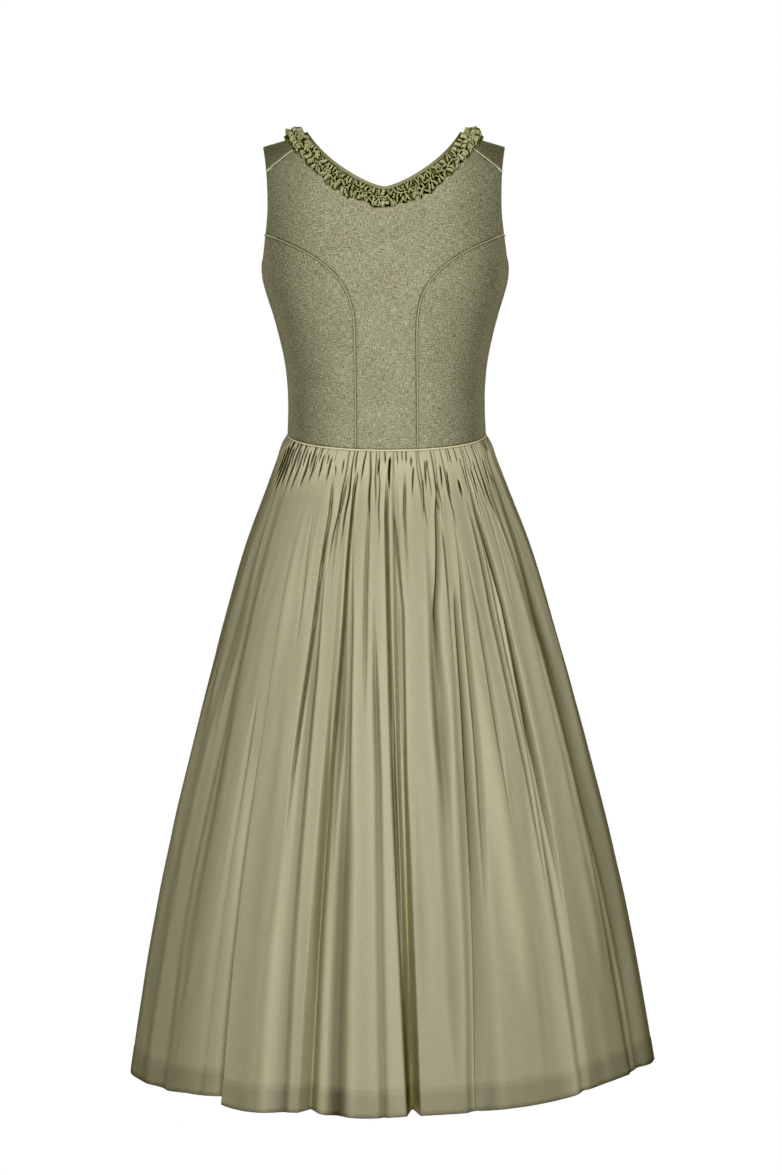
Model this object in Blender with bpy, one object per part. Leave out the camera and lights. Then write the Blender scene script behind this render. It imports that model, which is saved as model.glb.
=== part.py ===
"""A dirndl, filled out as worn: a piped linen bodice and a gathered skirt.

The origin lies between the tops of the shoulders, where the wearer holds the dress up.
+Z is up, the back of the dress faces -Y, and +X is the wearer's right. Lengths are in
millimetres and are turned into metres where the meshes are made.
"""
import math

import bmesh
import bpy
import numpy as np
from mathutils.geometry import delaunay_2d_cdt

MM = 0.001

# Cloth
BODICE_WALL = 1.5
SKIRT_WALL = 1.4
SEAM_GAP = 0.3
BODICE_MESH = 26.0
EDGE_STEP = 15.0
PIPED_STEP = 11.0
SHOULDER_STEP = 6.5
CUT_EDGE_STEPS = 60

# Cord inside the piped seams
PIPING_RADIUS = 1.3
PIPING_SIDES = 6
PIPING_SINK = 0.75
PIPED_INSET = PIPING_RADIUS + SEAM_GAP + 0.1
PIPING_CLEARANCE = 0.4
WAIST_CORD_STEPS = 40

# What lies on the bodice round the neck
TRIM_LIFT = 1.2
BINDING_START = 0.2
BINDING_WIDTH = 6.2
BINDING_WALL = 1.4
TRIM_WIDTH = 29.0
TRIM_HEIGHT = 12.0
TRIM_STEP = 12.0

# Narrow strip of cloth that backs the closing of the front
UNDERLAP_WIDTH = 30.0
UNDERLAP_WALL = 1.2
UNDERLAP_DEPTH = 2.8
UNDERLAP_BELOW_NECK = 5.0
UNDERLAP_ROWS = 18
UNDERLAP_COLUMNS = 4

# Shoulders: the form closes over them in a rounded ridge
RIDGE_TOP = 12.0
RIDGE_DROP = 62.0
RIDGE_RUN = 118.0
RIDGE_FOOT = RIDGE_TOP - RIDGE_DROP
NECK_HALF = 100.0
SHOULDER_HALF = 160.0
SHOULDER_SLOPE = 17.0
SLOPE_FADE = 110.0

# Radius that turns an angle on the figure into a width on the flat pattern
FLAT_RADIUS = 130.0

# Neckline, waist, seams
BACK_NECK_DEPTH = 75.0
FRONT_NECK_DEPTH = 160.0
SHOULDER_SEAM_NECK = 95.5
SHOULDER_SEAM_DROP = 40.0
WAIST_SIDE = -381.0
WAIST_DIP = 21.0
FRONT_DIP_SHARE = 0.7
UNDERARM = -172.0
UNDERARM_TURN = 26.0
STRAP_RIDGE = -5.0
FRONT_EDGE = 0.5
NECK_TRIM_END = 1.0

# The whole dress hangs a little aslant: each metre down lies this many metres to the right
LEAN = 0.0095

# Skirt
HEM_HEIGHT = -1229.0
SKIRT_FILL_STEP = 17.0
SKIRT_LEAST_STEP = 0.7
SIDE_SEAM = 90.0
FRONT_SEAM = 180.0


def table(columns, rows):
    """Rows of numbers, read by the names of their columns."""
    return {name: np.array(values, float) for name, values in zip(columns, zip(*rows))}


# One row for each level of the general figure that the bodice is cut for.
FORM = table(("height", "half_width", "back_depth", "front_depth", "roundness"), [
    (-410, 131.5, 93.0, 96.0, 2.15),
    (-383, 130.7, 93.0, 97.0, 2.15),
    (-350, 129.4, 92.0, 99.0, 2.15),
    (-318, 130.0, 92.0, 103.0, 2.15),
    (-286, 133.3, 93.5, 110.0, 2.2),
    (-254, 140.0, 96.0, 119.0, 2.2),
    (-222, 148.5, 99.0, 126.0, 2.25),
    (-199, 155.8, 101.5, 127.0, 2.3),
    (-178, 161.2, 103.0, 125.0, 2.3),
    (-160, 162.8, 103.5, 121.0, 2.3),
    (-135, 164.0, 102.5, 113.0, 2.3),
    (-110, 166.0, 98.5, 103.0, 2.3),
    (-80, 169.0, 93.5, 93.0, 2.3),
    (-50, 172.0, 90.0, 88.0, 2.3),
    (12, 180.0, 90.0, 88.0, 2.3),
])

# One row for each level of the armhole's edge.
ARMHOLE = table(("height", "back_half_width", "front_half_width"), [
    (-172, 161.3, 161.3),
    (-158, 160.5, 157.8),
    (-135, 158.0, 150.0),
    (-114, 155.2, 145.0),
    (-95, 153.2, 142.5),
    (-60, 152.9, 144.0),
    (-40, 153.9, 148.0),
    (-20, 156.1, 153.0),
    (-5, 158.6, 158.6),
])

# One row for each level of the skirt; the share runs from the waist to the hem.
SKIRT = table(("share", "half_width", "depth_ratio", "roundness"), [
    (0.000, 131.0, 0.720, 2.15),
    (0.020, 139.0, 0.735, 2.12),
    (0.045, 147.5, 0.755, 2.1),
    (0.080, 158.5, 0.775, 2.08),
    (0.155, 182.5, 0.800, 2.05),
    (0.275, 213.5, 0.825, 2.0),
    (0.434, 249.5, 0.850, 2.0),
    (0.593, 282.5, 0.858, 2.0),
    (0.752, 311.5, 0.862, 2.0),
    (0.911, 334.5, 0.866, 2.0),
    (1.000, 346.0, 0.868, 2.0),
])
SKIRT_LEVELS = (0.0, 0.025, 0.075, 0.165, 0.3, 0.47, 0.65, 0.83, 1.0)

# One row for each large fold: its angle from the centre back, in degrees, at four levels
# down the skirt, how far it sinks at the lower three, its reach to either side at the hem,
# and how far its bottom slides under the cloth on its +angle side.
FOLD_LEVELS = (0.0, 0.12, 0.45, 1.0)
FOLDS = table(("waist", "upper", "middle", "hem", "upper_depth", "middle_depth", "hem_depth",
               "reach_low", "reach_high", "slide"), [
    (-166, -165, -163, -162, 4, 14, 24, 30, 26, 0),
    (-141, -142, -144, -143, 4, 12, 16, 26, 34, 0),
    (-118, -119, -117, -115, 4, 16, 34, 44, 12, 10),
    (-93, -92, -91, -91, 3, 6, 12, 28, 28, 0),
    (-62, -61, -59.5, -60, 2, 6, 9, 46, 40, 0),
    (-44, -43, -41.2, -39.8, 0, 3, 46, 34, 7, 18),
    (-17, -16.8, -17.2, -18.6, 4, 12, 22, 10, 32, 0),
    (2.5, 3.0, 3.2, 4.6, 4, 12, 46, 11, 8, 0),
    (31, 26.6, 21.6, 17.3, 3, 8, 8, 14, 22, 0),
    (45, 43.2, 44.7, 44, 4, 12, 6, 26, 16, 0),
    (60, 60.6, 64, 67, 4, 10, 12, 40, 64, 0),
    (93, 92, 91, 91, 3, 6, 12, 28, 28, 0),
    (121, 120, 122, 124, 4, 18, 38, 16, 46, -12),
    (146, 147, 145, 143, 4, 12, 18, 30, 24, 0),
    (166, 167, 168, 166, 4, 14, 26, 26, 30, 0),
])

# One row for each place round the hem: how far it hangs above the lowest point.
HEM = table(("angle", "lift"), [
    (-180, 10), (-130, 10), (-90, 13), (-75, 12), (-60, 9), (-43, 11), (-36, 2), (-18, 4), (-6, 0),
    (4, 3), (20, 6), (37, 12), (48, 21), (55, 25), (68, 27), (90, 26), (130, 18), (180, 10),
])


def smooth(at, xs, ys):
    """A curve through the rows of a table, with no corner at a row."""
    at = min(max(at, xs[0]), xs[-1])
    index = min(int(np.searchsorted(xs, at, side="right")) - 1, len(xs) - 2)
    slopes = np.gradient(ys, xs)
    span = xs[index + 1] - xs[index]
    t = (at - xs[index]) / span
    start = (2 * t ** 3 - 3 * t ** 2 + 1) * ys[index] + (t ** 3 - 2 * t ** 2 + t) * span * slopes[index]
    end = (3 * t ** 2 - 2 * t ** 3) * ys[index + 1] + (t ** 3 - t ** 2) * span * slopes[index + 1]
    return float(start + end)


def ease(t):
    """0 to 1 with a soft start and end."""
    t = min(max(t, 0.0), 1.0)
    return t * t * (3 - 2 * t)


# ---------------------------------------------------------------- the bodice's form
# A place on the bodice is (angle, drop): the angle from the centre back or centre front
# towards the side, and the length of cloth down from the shoulder ridge, positive down the
# back and negative down the front.

def shoulder_fall(x, height):
    """How much lower the sloping shoulder lies than its neck end."""
    outwards = max(abs(x) - NECK_HALF, 0.0) / (SHOULDER_HALF - NECK_HALF)
    return SHOULDER_SLOPE * outwards * ease((height + SLOPE_FADE) / (SLOPE_FADE - 20.0))


def ring(drop):
    """Height, half width, depth and roundness of the ring at this drop."""
    turn = min(abs(drop) / RIDGE_RUN, 1.0) * math.pi / 2
    below = max(abs(drop) - RIDGE_RUN, 0.0)
    height = RIDGE_TOP - RIDGE_DROP * (1 - math.cos(turn)) - below
    side = "back_depth" if drop >= 0 else "front_depth"
    half_width = smooth(height, FORM["height"], FORM["half_width"])
    depth = smooth(height, FORM["height"], FORM[side]) * math.sin(turn)
    return height, half_width, depth, smooth(height, FORM["height"], FORM["roundness"])


def form_point(angle, drop):
    """The point of the figure at a place on the bodice."""
    height, half_width, depth, roundness = ring(drop)
    power = 2.0 / roundness
    x = half_width * math.copysign(abs(math.sin(angle)) ** power, math.sin(angle))
    y = -math.copysign(depth, drop) * math.copysign(abs(math.cos(angle)) ** power, math.cos(angle))
    return np.array((x, y, height - shoulder_fall(x, height)))


def form_frame(place):
    """The point, its two edge directions and its outward normal at a place."""
    angle, drop = place
    step_angle = 0.002
    step_drop = 0.3
    point = form_point(angle, drop)
    along = (form_point(angle + step_angle, drop) - form_point(angle - step_angle, drop)) / (2 * step_angle)
    down = (form_point(angle, drop + step_drop) - form_point(angle, drop - step_drop)) / (2 * step_drop)
    normal = np.cross(down, along)
    return point, along, down, normal / np.linalg.norm(normal)


def drop_at(height):
    """Cloth length from the ridge to a height, without its sign."""
    if height >= RIDGE_FOOT:
        turn = math.acos(min(max(1 - (RIDGE_TOP - height) / RIDGE_DROP, -1.0), 1.0))
        return RIDGE_RUN * turn / (math.pi / 2)
    return RIDGE_RUN + RIDGE_FOOT - height


def place_at(x, z, side):
    """The place at x and z, on the back (side 1) or the front (side -1)."""
    height = z
    for _ in range(30):
        height = min(z + shoulder_fall(x, height), RIDGE_TOP)
    half_width = smooth(height, FORM["height"], FORM["half_width"])
    roundness = smooth(height, FORM["height"], FORM["roundness"])
    sine = min(abs(x) / half_width, 1.0) ** (roundness / 2)
    return np.array((math.copysign(math.asin(sine), x), side * drop_at(height)))


def waist_height(angle, side):
    """Height of the waist seam, which dips towards the centre back and centre front."""
    return WAIST_SIDE - WAIST_DIP * (1.0 if side > 0 else FRONT_DIP_SHARE) * abs(math.cos(angle))


def resample(places, step):
    """The same line with its places this far apart on the cloth."""
    places = [np.array(place, float) for place in places]
    points = [form_point(*place) for place in places]
    lengths = [np.linalg.norm(b - a) for a, b in zip(points, points[1:])]
    run = np.concatenate(((0.0,), np.cumsum(lengths)))
    count = max(int(round(run[-1] / step)), 1)
    targets = np.linspace(0.0, run[-1], count + 1)
    columns = np.array(places).T
    return [np.array(pair) for pair in zip(*(np.interp(targets, run, column) for column in columns))]


# ---------------------------------------------------------------- lines on the bodice
def neck_height(x, side):
    """Height of the neckline: a soft V at the back, a rounder scoop at the front."""
    out = abs(x) / NECK_HALF
    if side > 0:
        return RIDGE_TOP - BACK_NECK_DEPTH * (1 - 0.8 * out ** 1.4 - 0.2 * out ** 6)
    return RIDGE_TOP - FRONT_NECK_DEPTH * (1 - 0.45 * out ** 2 - 0.55 * out ** 5)


def neckline(x_from, x_to, side):
    """Neckline on one side, from one x to the other."""
    return [place_at(x, neck_height(x, side), side) for x in np.linspace(x_from, x_to, CUT_EDGE_STEPS)]


def princess_x(z, side):
    """Distance of the shaping seam from the centre at a height."""
    if side > 0:
        return 40.0 + 114.0 * max((z + 270.0) / 147.0, 0.0) ** 3.4
    return 58.0 + 26.0 * ease((z + 385.0) / 150.0) + 62.0 * max((z + 225.0) / 100.0, 0.0) ** 2.2


def armhole_x(z, side):
    """Distance of the armhole's edge from the centre at a height."""
    column = "back_half_width" if side > 0 else "front_half_width"
    return smooth(z, ARMHOLE["height"], ARMHOLE[column])


def crossing(side):
    """Height at which the shaping seam runs into the armhole."""
    heights = np.arange(-160.0, -90.0, 0.25)
    return next(z for z in heights if princess_x(z, side) >= armhole_x(z, side))


def armhole(z_from, z_to, sign, side):
    """Armhole edge between two heights; at the underarm it reaches the side seam."""
    places = []
    for z in np.linspace(z_from, z_to, CUT_EDGE_STEPS):
        place = place_at(sign * armhole_x(z, side), z, side)
        towards_side = ease((UNDERARM + UNDERARM_TURN - z) / UNDERARM_TURN)
        place[0] += (sign * math.pi / 2 - place[0]) * towards_side
        places.append(place)
    return places


def princess(sign, side):
    """Shaping seam from the waist up to the armhole."""
    below_waist = WAIST_SIDE - WAIST_DIP
    foot_angle = place_at(princess_x(below_waist, side), below_waist, side)[0]
    heights = np.linspace(waist_height(foot_angle, side), crossing(side), CUT_EDGE_STEPS)
    return [place_at(sign * princess_x(z, side), z, side) for z in heights]


def waist(angle_from, angle_to, side):
    """Waist seam between two angles."""
    return [np.array((angle, side * drop_at(waist_height(angle, side))))
            for angle in np.linspace(angle_from, angle_to, CUT_EDGE_STEPS)]


def side_seam(sign, side):
    """Side seam from the waist up to the underarm."""
    drops = np.linspace(drop_at(waist_height(math.pi / 2, side)), drop_at(UNDERARM), CUT_EDGE_STEPS)
    return [np.array((sign * math.pi / 2, side * drop)) for drop in drops]


def shoulder_seam(sign):
    """Shoulder seam, behind the ridge, from the armhole to the neckline."""
    outer_x = armhole_x(-SHOULDER_SEAM_DROP, 1)
    inner_z = neck_height(SHOULDER_SEAM_NECK, 1)
    steps = np.linspace(0.0, 1.0, CUT_EDGE_STEPS)
    return [place_at(sign * (outer_x + (SHOULDER_SEAM_NECK - outer_x) * t),
                     -SHOULDER_SEAM_DROP + (inner_z + SHOULDER_SEAM_DROP) * t, 1) for t in steps]


# ---------------------------------------------------------------- making the meshes
def material(name, colour, roughness):
    """A plain cloth finish."""
    finish = bpy.data.materials.new(name)
    finish.use_nodes = True
    shader = finish.node_tree.nodes["Principled BSDF"]
    shader.inputs["Base Color"].default_value = (*colour, 1.0)
    shader.inputs["Roughness"].default_value = roughness
    return finish


def add_object(name, points, faces, finish):
    """One closed piece, with its faces pointing out."""
    mesh = bpy.data.meshes.new(name)
    hung = [((x - LEAN * z) * MM, y * MM, z * MM) for x, y, z in points]
    mesh.from_pydata(hung, [], faces)
    shape = bmesh.new()
    shape.from_mesh(mesh)
    bmesh.ops.recalc_face_normals(shape, faces=shape.faces)
    if shape.calc_volume(signed=True) < 0:
        bmesh.ops.reverse_faces(shape, faces=shape.faces)
    shape.to_mesh(mesh)
    shape.free()
    mesh.shade_smooth()
    mesh.set_sharp_from_angle(angle=math.radians(40))
    mesh.materials.append(finish)
    bpy.context.scene.collection.objects.link(bpy.data.objects.new(name, mesh))


def grid_faces(rows, columns, offset=0, closed=False):
    """Quads of a grid whose points are numbered row by row."""
    faces = []
    for row in range(rows - 1):
        for column in range(columns if closed else columns - 1):
            nxt = (column + 1) % columns
            low = offset + row * columns
            faces.append((low + column, low + nxt, low + columns + nxt, low + columns + column))
    return faces


def flatten(place):
    """A place as a point of the flat pattern, in millimetres."""
    return np.array((place[0] * FLAT_RADIUS, place[1]))


def cloth_axes(along, down):
    """The matrix that turns a small step in place into millimetres across and down the cloth."""
    across = along / np.linalg.norm(along)
    below = down - across * down.dot(across)
    below /= np.linalg.norm(below)
    return np.array(((along.dot(across), down.dot(across)), (0.0, down.dot(below))))


def inset_outline(places, insets):
    """Move each side of an outline inwards on the cloth by its own distance."""
    count = len(places)
    flat = [flatten(place) for place in places]
    turning = sum(flat[i][0] * flat[(i + 1) % count][1] - flat[(i + 1) % count][0] * flat[i][1]
                  for i in range(count))
    sense = 1.0 if turning > 0 else -1.0
    moved = []
    for i in range(count):
        _, along, down, _ = form_frame(places[i])
        to_cloth = cloth_axes(along, down)
        normals = []
        for start, end in ((i - 1, i), (i, (i + 1) % count)):
            edge = to_cloth @ (places[end] - places[start])
            edge /= np.linalg.norm(edge)
            normals.append(sense * np.array((-edge[1], edge[0])))
        first, second = insets[i - 1], insets[i]
        if normals[0].dot(normals[1]) > 0.97:
            shift = (normals[0] + normals[1]) / 2 * max(first, second)
        else:
            shift = np.linalg.solve(np.array(normals), np.array((first, second)))
        moved.append(places[i] + np.linalg.solve(to_cloth, shift))
    return moved


def inside(point, polygon):
    """Whether a flat point lies in a flat outline."""
    hit = False
    for (x0, y0), (x1, y1) in zip(polygon, polygon[1:] + polygon[:1]):
        if (y0 > point[1]) != (y1 > point[1]):
            if point[0] < x0 + (point[1] - y0) * (x1 - x0) / (y1 - y0):
                hit = not hit
    return hit


def edge_distance(point, polygon):
    """Distance from a flat point to a flat outline."""
    starts = np.array(polygon)
    runs = np.roll(starts, -1, axis=0) - starts
    share = ((point - starts) * runs).sum(axis=1) / np.maximum((runs ** 2).sum(axis=1), 1e-9)
    nearest = starts + runs * np.clip(share, 0, 1)[:, None]
    return float(np.linalg.norm(nearest - point, axis=1).min())


def panel(name, edges, finish):
    """A cut panel of the bodice. Each edge is a line of places and its inset."""
    outline = []
    insets = []
    for line, distance in edges:
        outline += line[:-1]
        insets += [distance] * (len(line) - 1)
    outline = inset_outline(outline, insets)
    flat = [flatten(place) for place in outline]
    corners = [tuple(point) for point in flat]
    low = np.min(flat, axis=0)
    high = np.max(flat, axis=0)
    free = []
    for row, drop in enumerate(np.arange(low[1], high[1], BODICE_MESH * math.sqrt(3) / 2)):
        for across in np.arange(low[0] + (row % 2) * BODICE_MESH / 2, high[0], BODICE_MESH):
            point = np.array((across, drop))
            if inside(point, corners) and edge_distance(point, corners) > BODICE_MESH * 0.5:
                free.append(point)
    boundary = [(i, (i + 1) % len(flat)) for i in range(len(flat))]
    points_in = [tuple(float(c) for c in point) for point in flat + free]
    result = delaunay_2d_cdt(points_in, boundary, [], 0, 1e-6, True)
    places = [np.array((point[0] / FLAT_RADIUS, point[1])) for point in result[0]]
    triangles = [tuple(face) for face in result[2]
                 if inside(np.mean([result[0][i] for i in face], axis=0), corners)]
    build_wall(name, places, triangles, 0.0, BODICE_WALL, finish)


def build_wall(name, places, triangles, lift, wall, finish):
    """Close a sheet of triangles into a wall of cloth below its lifted outer face."""
    frames = [form_frame(place) for place in places]
    outer = [point + normal * lift for point, _, _, normal in frames]
    inner = [point + normal * (lift - wall) for point, _, _, normal in frames]
    count = len(places)
    used = {(face[i], face[(i + 1) % 3]) for face in triangles for i in range(3)}
    rims = [edge for edge in used if (edge[1], edge[0]) not in used]
    faces = list(triangles)
    faces += [tuple(count + i for i in reversed(face)) for face in triangles]
    faces += [(b, a, count + a, count + b) for a, b in rims]
    add_object(name, outer + inner, faces, finish)


def tube(name, centres, normals, radius, finish, closed=False):
    """A round cord along a line of points."""
    count = len(centres)
    points = []
    for i in range(count):
        ahead = centres[(i + 1) % count] if closed else centres[min(i + 1, count - 1)]
        behind = centres[i - 1] if closed else centres[max(i - 1, 0)]
        tangent = (ahead - behind) / np.linalg.norm(ahead - behind)
        up = normals[i] - tangent * normals[i].dot(tangent)
        up /= np.linalg.norm(up)
        across = np.cross(tangent, up)
        for side in range(PIPING_SIDES):
            turn = 2 * math.pi * side / PIPING_SIDES
            points.append(centres[i] + (up * math.cos(turn) + across * math.sin(turn)) * radius)
    loops = list(range(count)) + ([0] if closed else [])
    faces = []
    for a, b in zip(loops, loops[1:]):
        for side in range(PIPING_SIDES):
            nxt = (side + 1) % PIPING_SIDES
            faces.append((a * PIPING_SIDES + side, a * PIPING_SIDES + nxt,
                          b * PIPING_SIDES + nxt, b * PIPING_SIDES + side))
    if not closed:
        faces.append(tuple(range(PIPING_SIDES)))
        faces.append(tuple((count - 1) * PIPING_SIDES + side for side in reversed(range(PIPING_SIDES))))
    add_object(name, points, faces, finish)


def seam_cord(name, line, finish, step, clear_start, clear_end):
    """The cord of a piped seam, stopping short of what it runs into."""
    points = [form_point(*place) for place in line]
    lengths = [np.linalg.norm(b - a) for a, b in zip(points, points[1:])]
    run = np.concatenate(((0.0,), np.cumsum(lengths)))
    targets = np.linspace(clear_start, run[-1] - clear_end, int(run[-1] / step))
    columns = np.array(line).T
    places = list(zip(*(np.interp(targets, run, column) for column in columns)))
    frames = [form_frame(place) for place in places]
    centres = [point - normal * PIPING_SINK for point, _, _, normal in frames]
    tube(name, centres, [frame[3] for frame in frames], PIPING_RADIUS, finish)


def strip(name, line, section, finish):
    """A strip along a line: its section gives distance from the line and height above the cloth."""
    count = len(line)
    sides = len(section)
    points = []
    for i in range(count):
        _, along, down, _ = form_frame(line[i])
        to_cloth = cloth_axes(along, down)
        step = to_cloth @ (line[min(i + 1, count - 1)] - line[max(i - 1, 0)])
        step /= np.linalg.norm(step)
        away = np.array((step[1], -step[0]))
        for distance, lift in section:
            point, _, _, normal = form_frame(line[i] + np.linalg.solve(to_cloth, away * distance))
            points.append(point + normal * lift)
    faces = grid_faces(count, sides, closed=True)
    faces.append(tuple(range(sides)))
    faces.append(tuple((count - 1) * sides + side for side in reversed(range(sides))))
    add_object(name, points, faces, finish)


# ---------------------------------------------------------------- the bodice
def build_bodice(linen, piping):
    """Back, sides and fronts, with the piped seams of the back."""
    seam = SEAM_GAP / 2
    lines = {}
    for side, step in ((1, PIPED_STEP), (-1, EDGE_STEP)):
        for sign in (-1, 1):
            lines["princess", side, sign] = resample(princess(sign, side), step)
            lines["side", side, sign] = resample(side_seam(sign, side), EDGE_STEP)
            lines["under", side, sign] = resample(armhole(crossing(side), UNDERARM, sign, side), EDGE_STEP)
    upper_back = {}
    shoulder = {}
    for sign in (-1, 1):
        upper_back[sign] = resample(armhole(crossing(1), -SHOULDER_SEAM_DROP, sign, 1), EDGE_STEP)
        shoulder[sign] = resample(shoulder_seam(sign), SHOULDER_STEP)

    foot = lines["princess", 1, 1][0][0]
    panel("back_center", [
        (resample(waist(-foot, foot, 1), EDGE_STEP), PIPED_INSET),
        (lines["princess", 1, 1], PIPED_INSET),
        (upper_back[1], 0.0),
        (shoulder[1], PIPED_INSET),
        (resample(neckline(SHOULDER_SEAM_NECK, -SHOULDER_SEAM_NECK, 1), EDGE_STEP), 0.0),
        (shoulder[-1][::-1], PIPED_INSET),
        (upper_back[-1][::-1], 0.0),
        (lines["princess", 1, -1][::-1], PIPED_INSET),
    ], linen)

    for sign, hand in ((-1, "left"), (1, "right")):
        for side, part, inset in ((1, "back", PIPED_INSET), (-1, "front", seam)):
            seam_line = lines["princess", side, sign]
            panel(f"{part}_side_{hand}", [
                (resample(waist(seam_line[0][0], sign * math.pi / 2, side), EDGE_STEP), PIPED_INSET),
                (lines["side", side, sign], seam),
                (lines["under", side, sign][::-1], 0.0),
                (seam_line[::-1], inset),
            ], linen)

        front_seam = lines["princess", -1, sign]
        strap_outer = armhole(-SHOULDER_SEAM_DROP, STRAP_RIDGE, sign, 1)
        strap_outer += armhole(STRAP_RIDGE, crossing(-1), sign, -1)[1:]
        neck_edge = neckline(sign * FRONT_EDGE, sign * NECK_HALF, -1)
        neck_edge += neckline(sign * NECK_HALF, sign * SHOULDER_SEAM_NECK, 1)[1:]
        drops = np.linspace(drop_at(waist_height(0.0, -1)), -neck_edge[0][1], CUT_EDGE_STEPS)
        centre = [np.array((neck_edge[0][0], -drop)) for drop in drops]
        panel(f"front_center_{hand}", [
            (resample(waist(front_seam[0][0], centre[0][0], -1), EDGE_STEP), PIPED_INSET),
            (resample(centre, EDGE_STEP), 0.0),
            (resample(neck_edge, EDGE_STEP), 0.0),
            (shoulder[sign][::-1], PIPED_INSET),
            (resample(strap_outer, EDGE_STEP), 0.0),
            (front_seam[::-1], seam),
        ], linen)
        seam_cord(f"piping_back_{hand}", princess(sign, 1), piping, PIPED_STEP,
                  PIPED_INSET + PIPING_RADIUS, PIPING_CLEARANCE)
        seam_cord(f"piping_shoulder_{hand}", shoulder_seam(sign), piping, SHOULDER_STEP,
                  PIPING_CLEARANCE, PIPING_CLEARANCE)


def build_underlap(linen):
    """Strip behind the edges of the front, from the waist to the neckline."""
    half = UNDERLAP_WIDTH / 2
    top = neck_height(half, -1) - UNDERLAP_BELOW_NECK
    heights = np.linspace(waist_height(0.0, -1) + PIPED_INSET, top, UNDERLAP_ROWS)
    places = [place_at(x, z, -1) for z in heights for x in np.linspace(-half, half, UNDERLAP_COLUMNS)]
    triangles = []
    for a, b, c, d in grid_faces(UNDERLAP_ROWS, UNDERLAP_COLUMNS):
        triangles += [(a, b, c), (a, c, d)]
    build_wall("front_underlap", places, triangles, -UNDERLAP_DEPTH, UNDERLAP_WALL, linen)


def build_neck(satin):
    """Binding of the neck edge and the reach of the ruched trim beside it."""
    line = neckline(NECK_TRIM_END, NECK_HALF, -1)
    line += neckline(NECK_HALF, -NECK_HALF, 1)[1:]
    line += neckline(-NECK_HALF, -NECK_TRIM_END, -1)[1:]
    line = resample(line, TRIM_STEP)
    strip("neck_binding", line, [
        (BINDING_START, TRIM_LIFT),
        (BINDING_WIDTH, TRIM_LIFT),
        (BINDING_WIDTH, TRIM_LIFT + BINDING_WALL),
        (BINDING_START, TRIM_LIFT + BINDING_WALL),
    ], satin)
    start = BINDING_WIDTH + SEAM_GAP
    reach = TRIM_WIDTH - start
    strip("neck_trim", line, [
        (start, TRIM_LIFT),
        (start + reach * 0.5, TRIM_LIFT),
        (TRIM_WIDTH, TRIM_LIFT),
        (TRIM_WIDTH, TRIM_HEIGHT * 0.7),
        (start + reach * 0.75, TRIM_HEIGHT),
        (start + reach * 0.25, TRIM_HEIGHT),
        (start, TRIM_HEIGHT * 0.7),
    ], satin)


def build_waist_cord(piping):
    """The cord that runs round the waist seam."""
    centres = []
    normals = []
    for turn in np.linspace(0, 2 * math.pi, WAIST_CORD_STEPS, endpoint=False):
        side = 1 if math.cos(turn) >= 0 else -1
        angle = math.asin(math.sin(turn))
        point, _, _, normal = form_frame((angle, side * drop_at(waist_height(angle, side))))
        centres.append(point - normal * PIPING_SINK)
        normals.append(normal)
    tube("piping_waist", centres, normals, PIPING_RADIUS, piping, closed=True)


# ---------------------------------------------------------------- the skirt
def around(angle):
    """An angle in degrees brought between -180 and 180."""
    return (angle + 180.0) % 360.0 - 180.0


def fold_angle(index, share):
    """Angle of a fold at a share of the way down."""
    angles = [FOLDS[level][index] for level in ("waist", "upper", "middle", "hem")]
    return float(np.interp(share, FOLD_LEVELS, angles))


def cloth_angle(angle, share):
    """Where the cloth that meets the hem at this angle lies higher up."""
    hems = np.concatenate(([-180.0], FOLDS["hem"], [180.0]))
    here = np.array([-180.0] + [fold_angle(i, share) for i in range(len(FOLDS["hem"]))] + [180.0])
    return float(np.interp(angle, hems, here))


def skirt_point(angle, share):
    """Outer face of the skirt, for cloth that meets the hem at an angle in degrees."""
    turn = math.radians(cloth_angle(angle, share))
    half_width = smooth(share, SKIRT["share"], SKIRT["half_width"])
    depth = half_width * smooth(share, SKIRT["share"], SKIRT["depth_ratio"])
    power = 2.0 / smooth(share, SKIRT["share"], SKIRT["roundness"])
    sine, cosine = math.sin(turn), math.cos(turn)
    plan = np.array((half_width * math.copysign(abs(sine) ** power, sine),
                     -depth * math.copysign(abs(cosine) ** power, cosine)))
    outwards = np.array((sine / half_width, -cosine / depth))
    outwards /= np.linalg.norm(outwards)
    sideways = np.array((-outwards[1], outwards[0]))
    hem_radius = smooth(1.0, SKIRT["share"], SKIRT["half_width"])
    for i in range(len(FOLDS["hem"])):
        distance = math.radians(around(angle - FOLDS["hem"][i])) * hem_radius
        reach = FOLDS["reach_high"][i] if distance > 0 else FOLDS["reach_low"][i]
        if abs(distance) < reach:
            wave = 0.5 + 0.5 * math.cos(math.pi * distance / reach)
            depths = (0.0, FOLDS["upper_depth"][i], FOLDS["middle_depth"][i], FOLDS["hem_depth"][i])
            plan = plan - outwards * wave * float(np.interp(share, FOLD_LEVELS, depths))
            plan = plan + sideways * wave * FOLDS["slide"][i] * share
    side = 1 if cosine >= 0 else -1
    top = waist_height(math.asin(sine), side) - PIPED_INSET
    hem = HEM_HEIGHT + smooth(angle, HEM["angle"], HEM["lift"])
    return np.array((plan[0], plan[1], top + (hem - top) * share))


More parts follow.
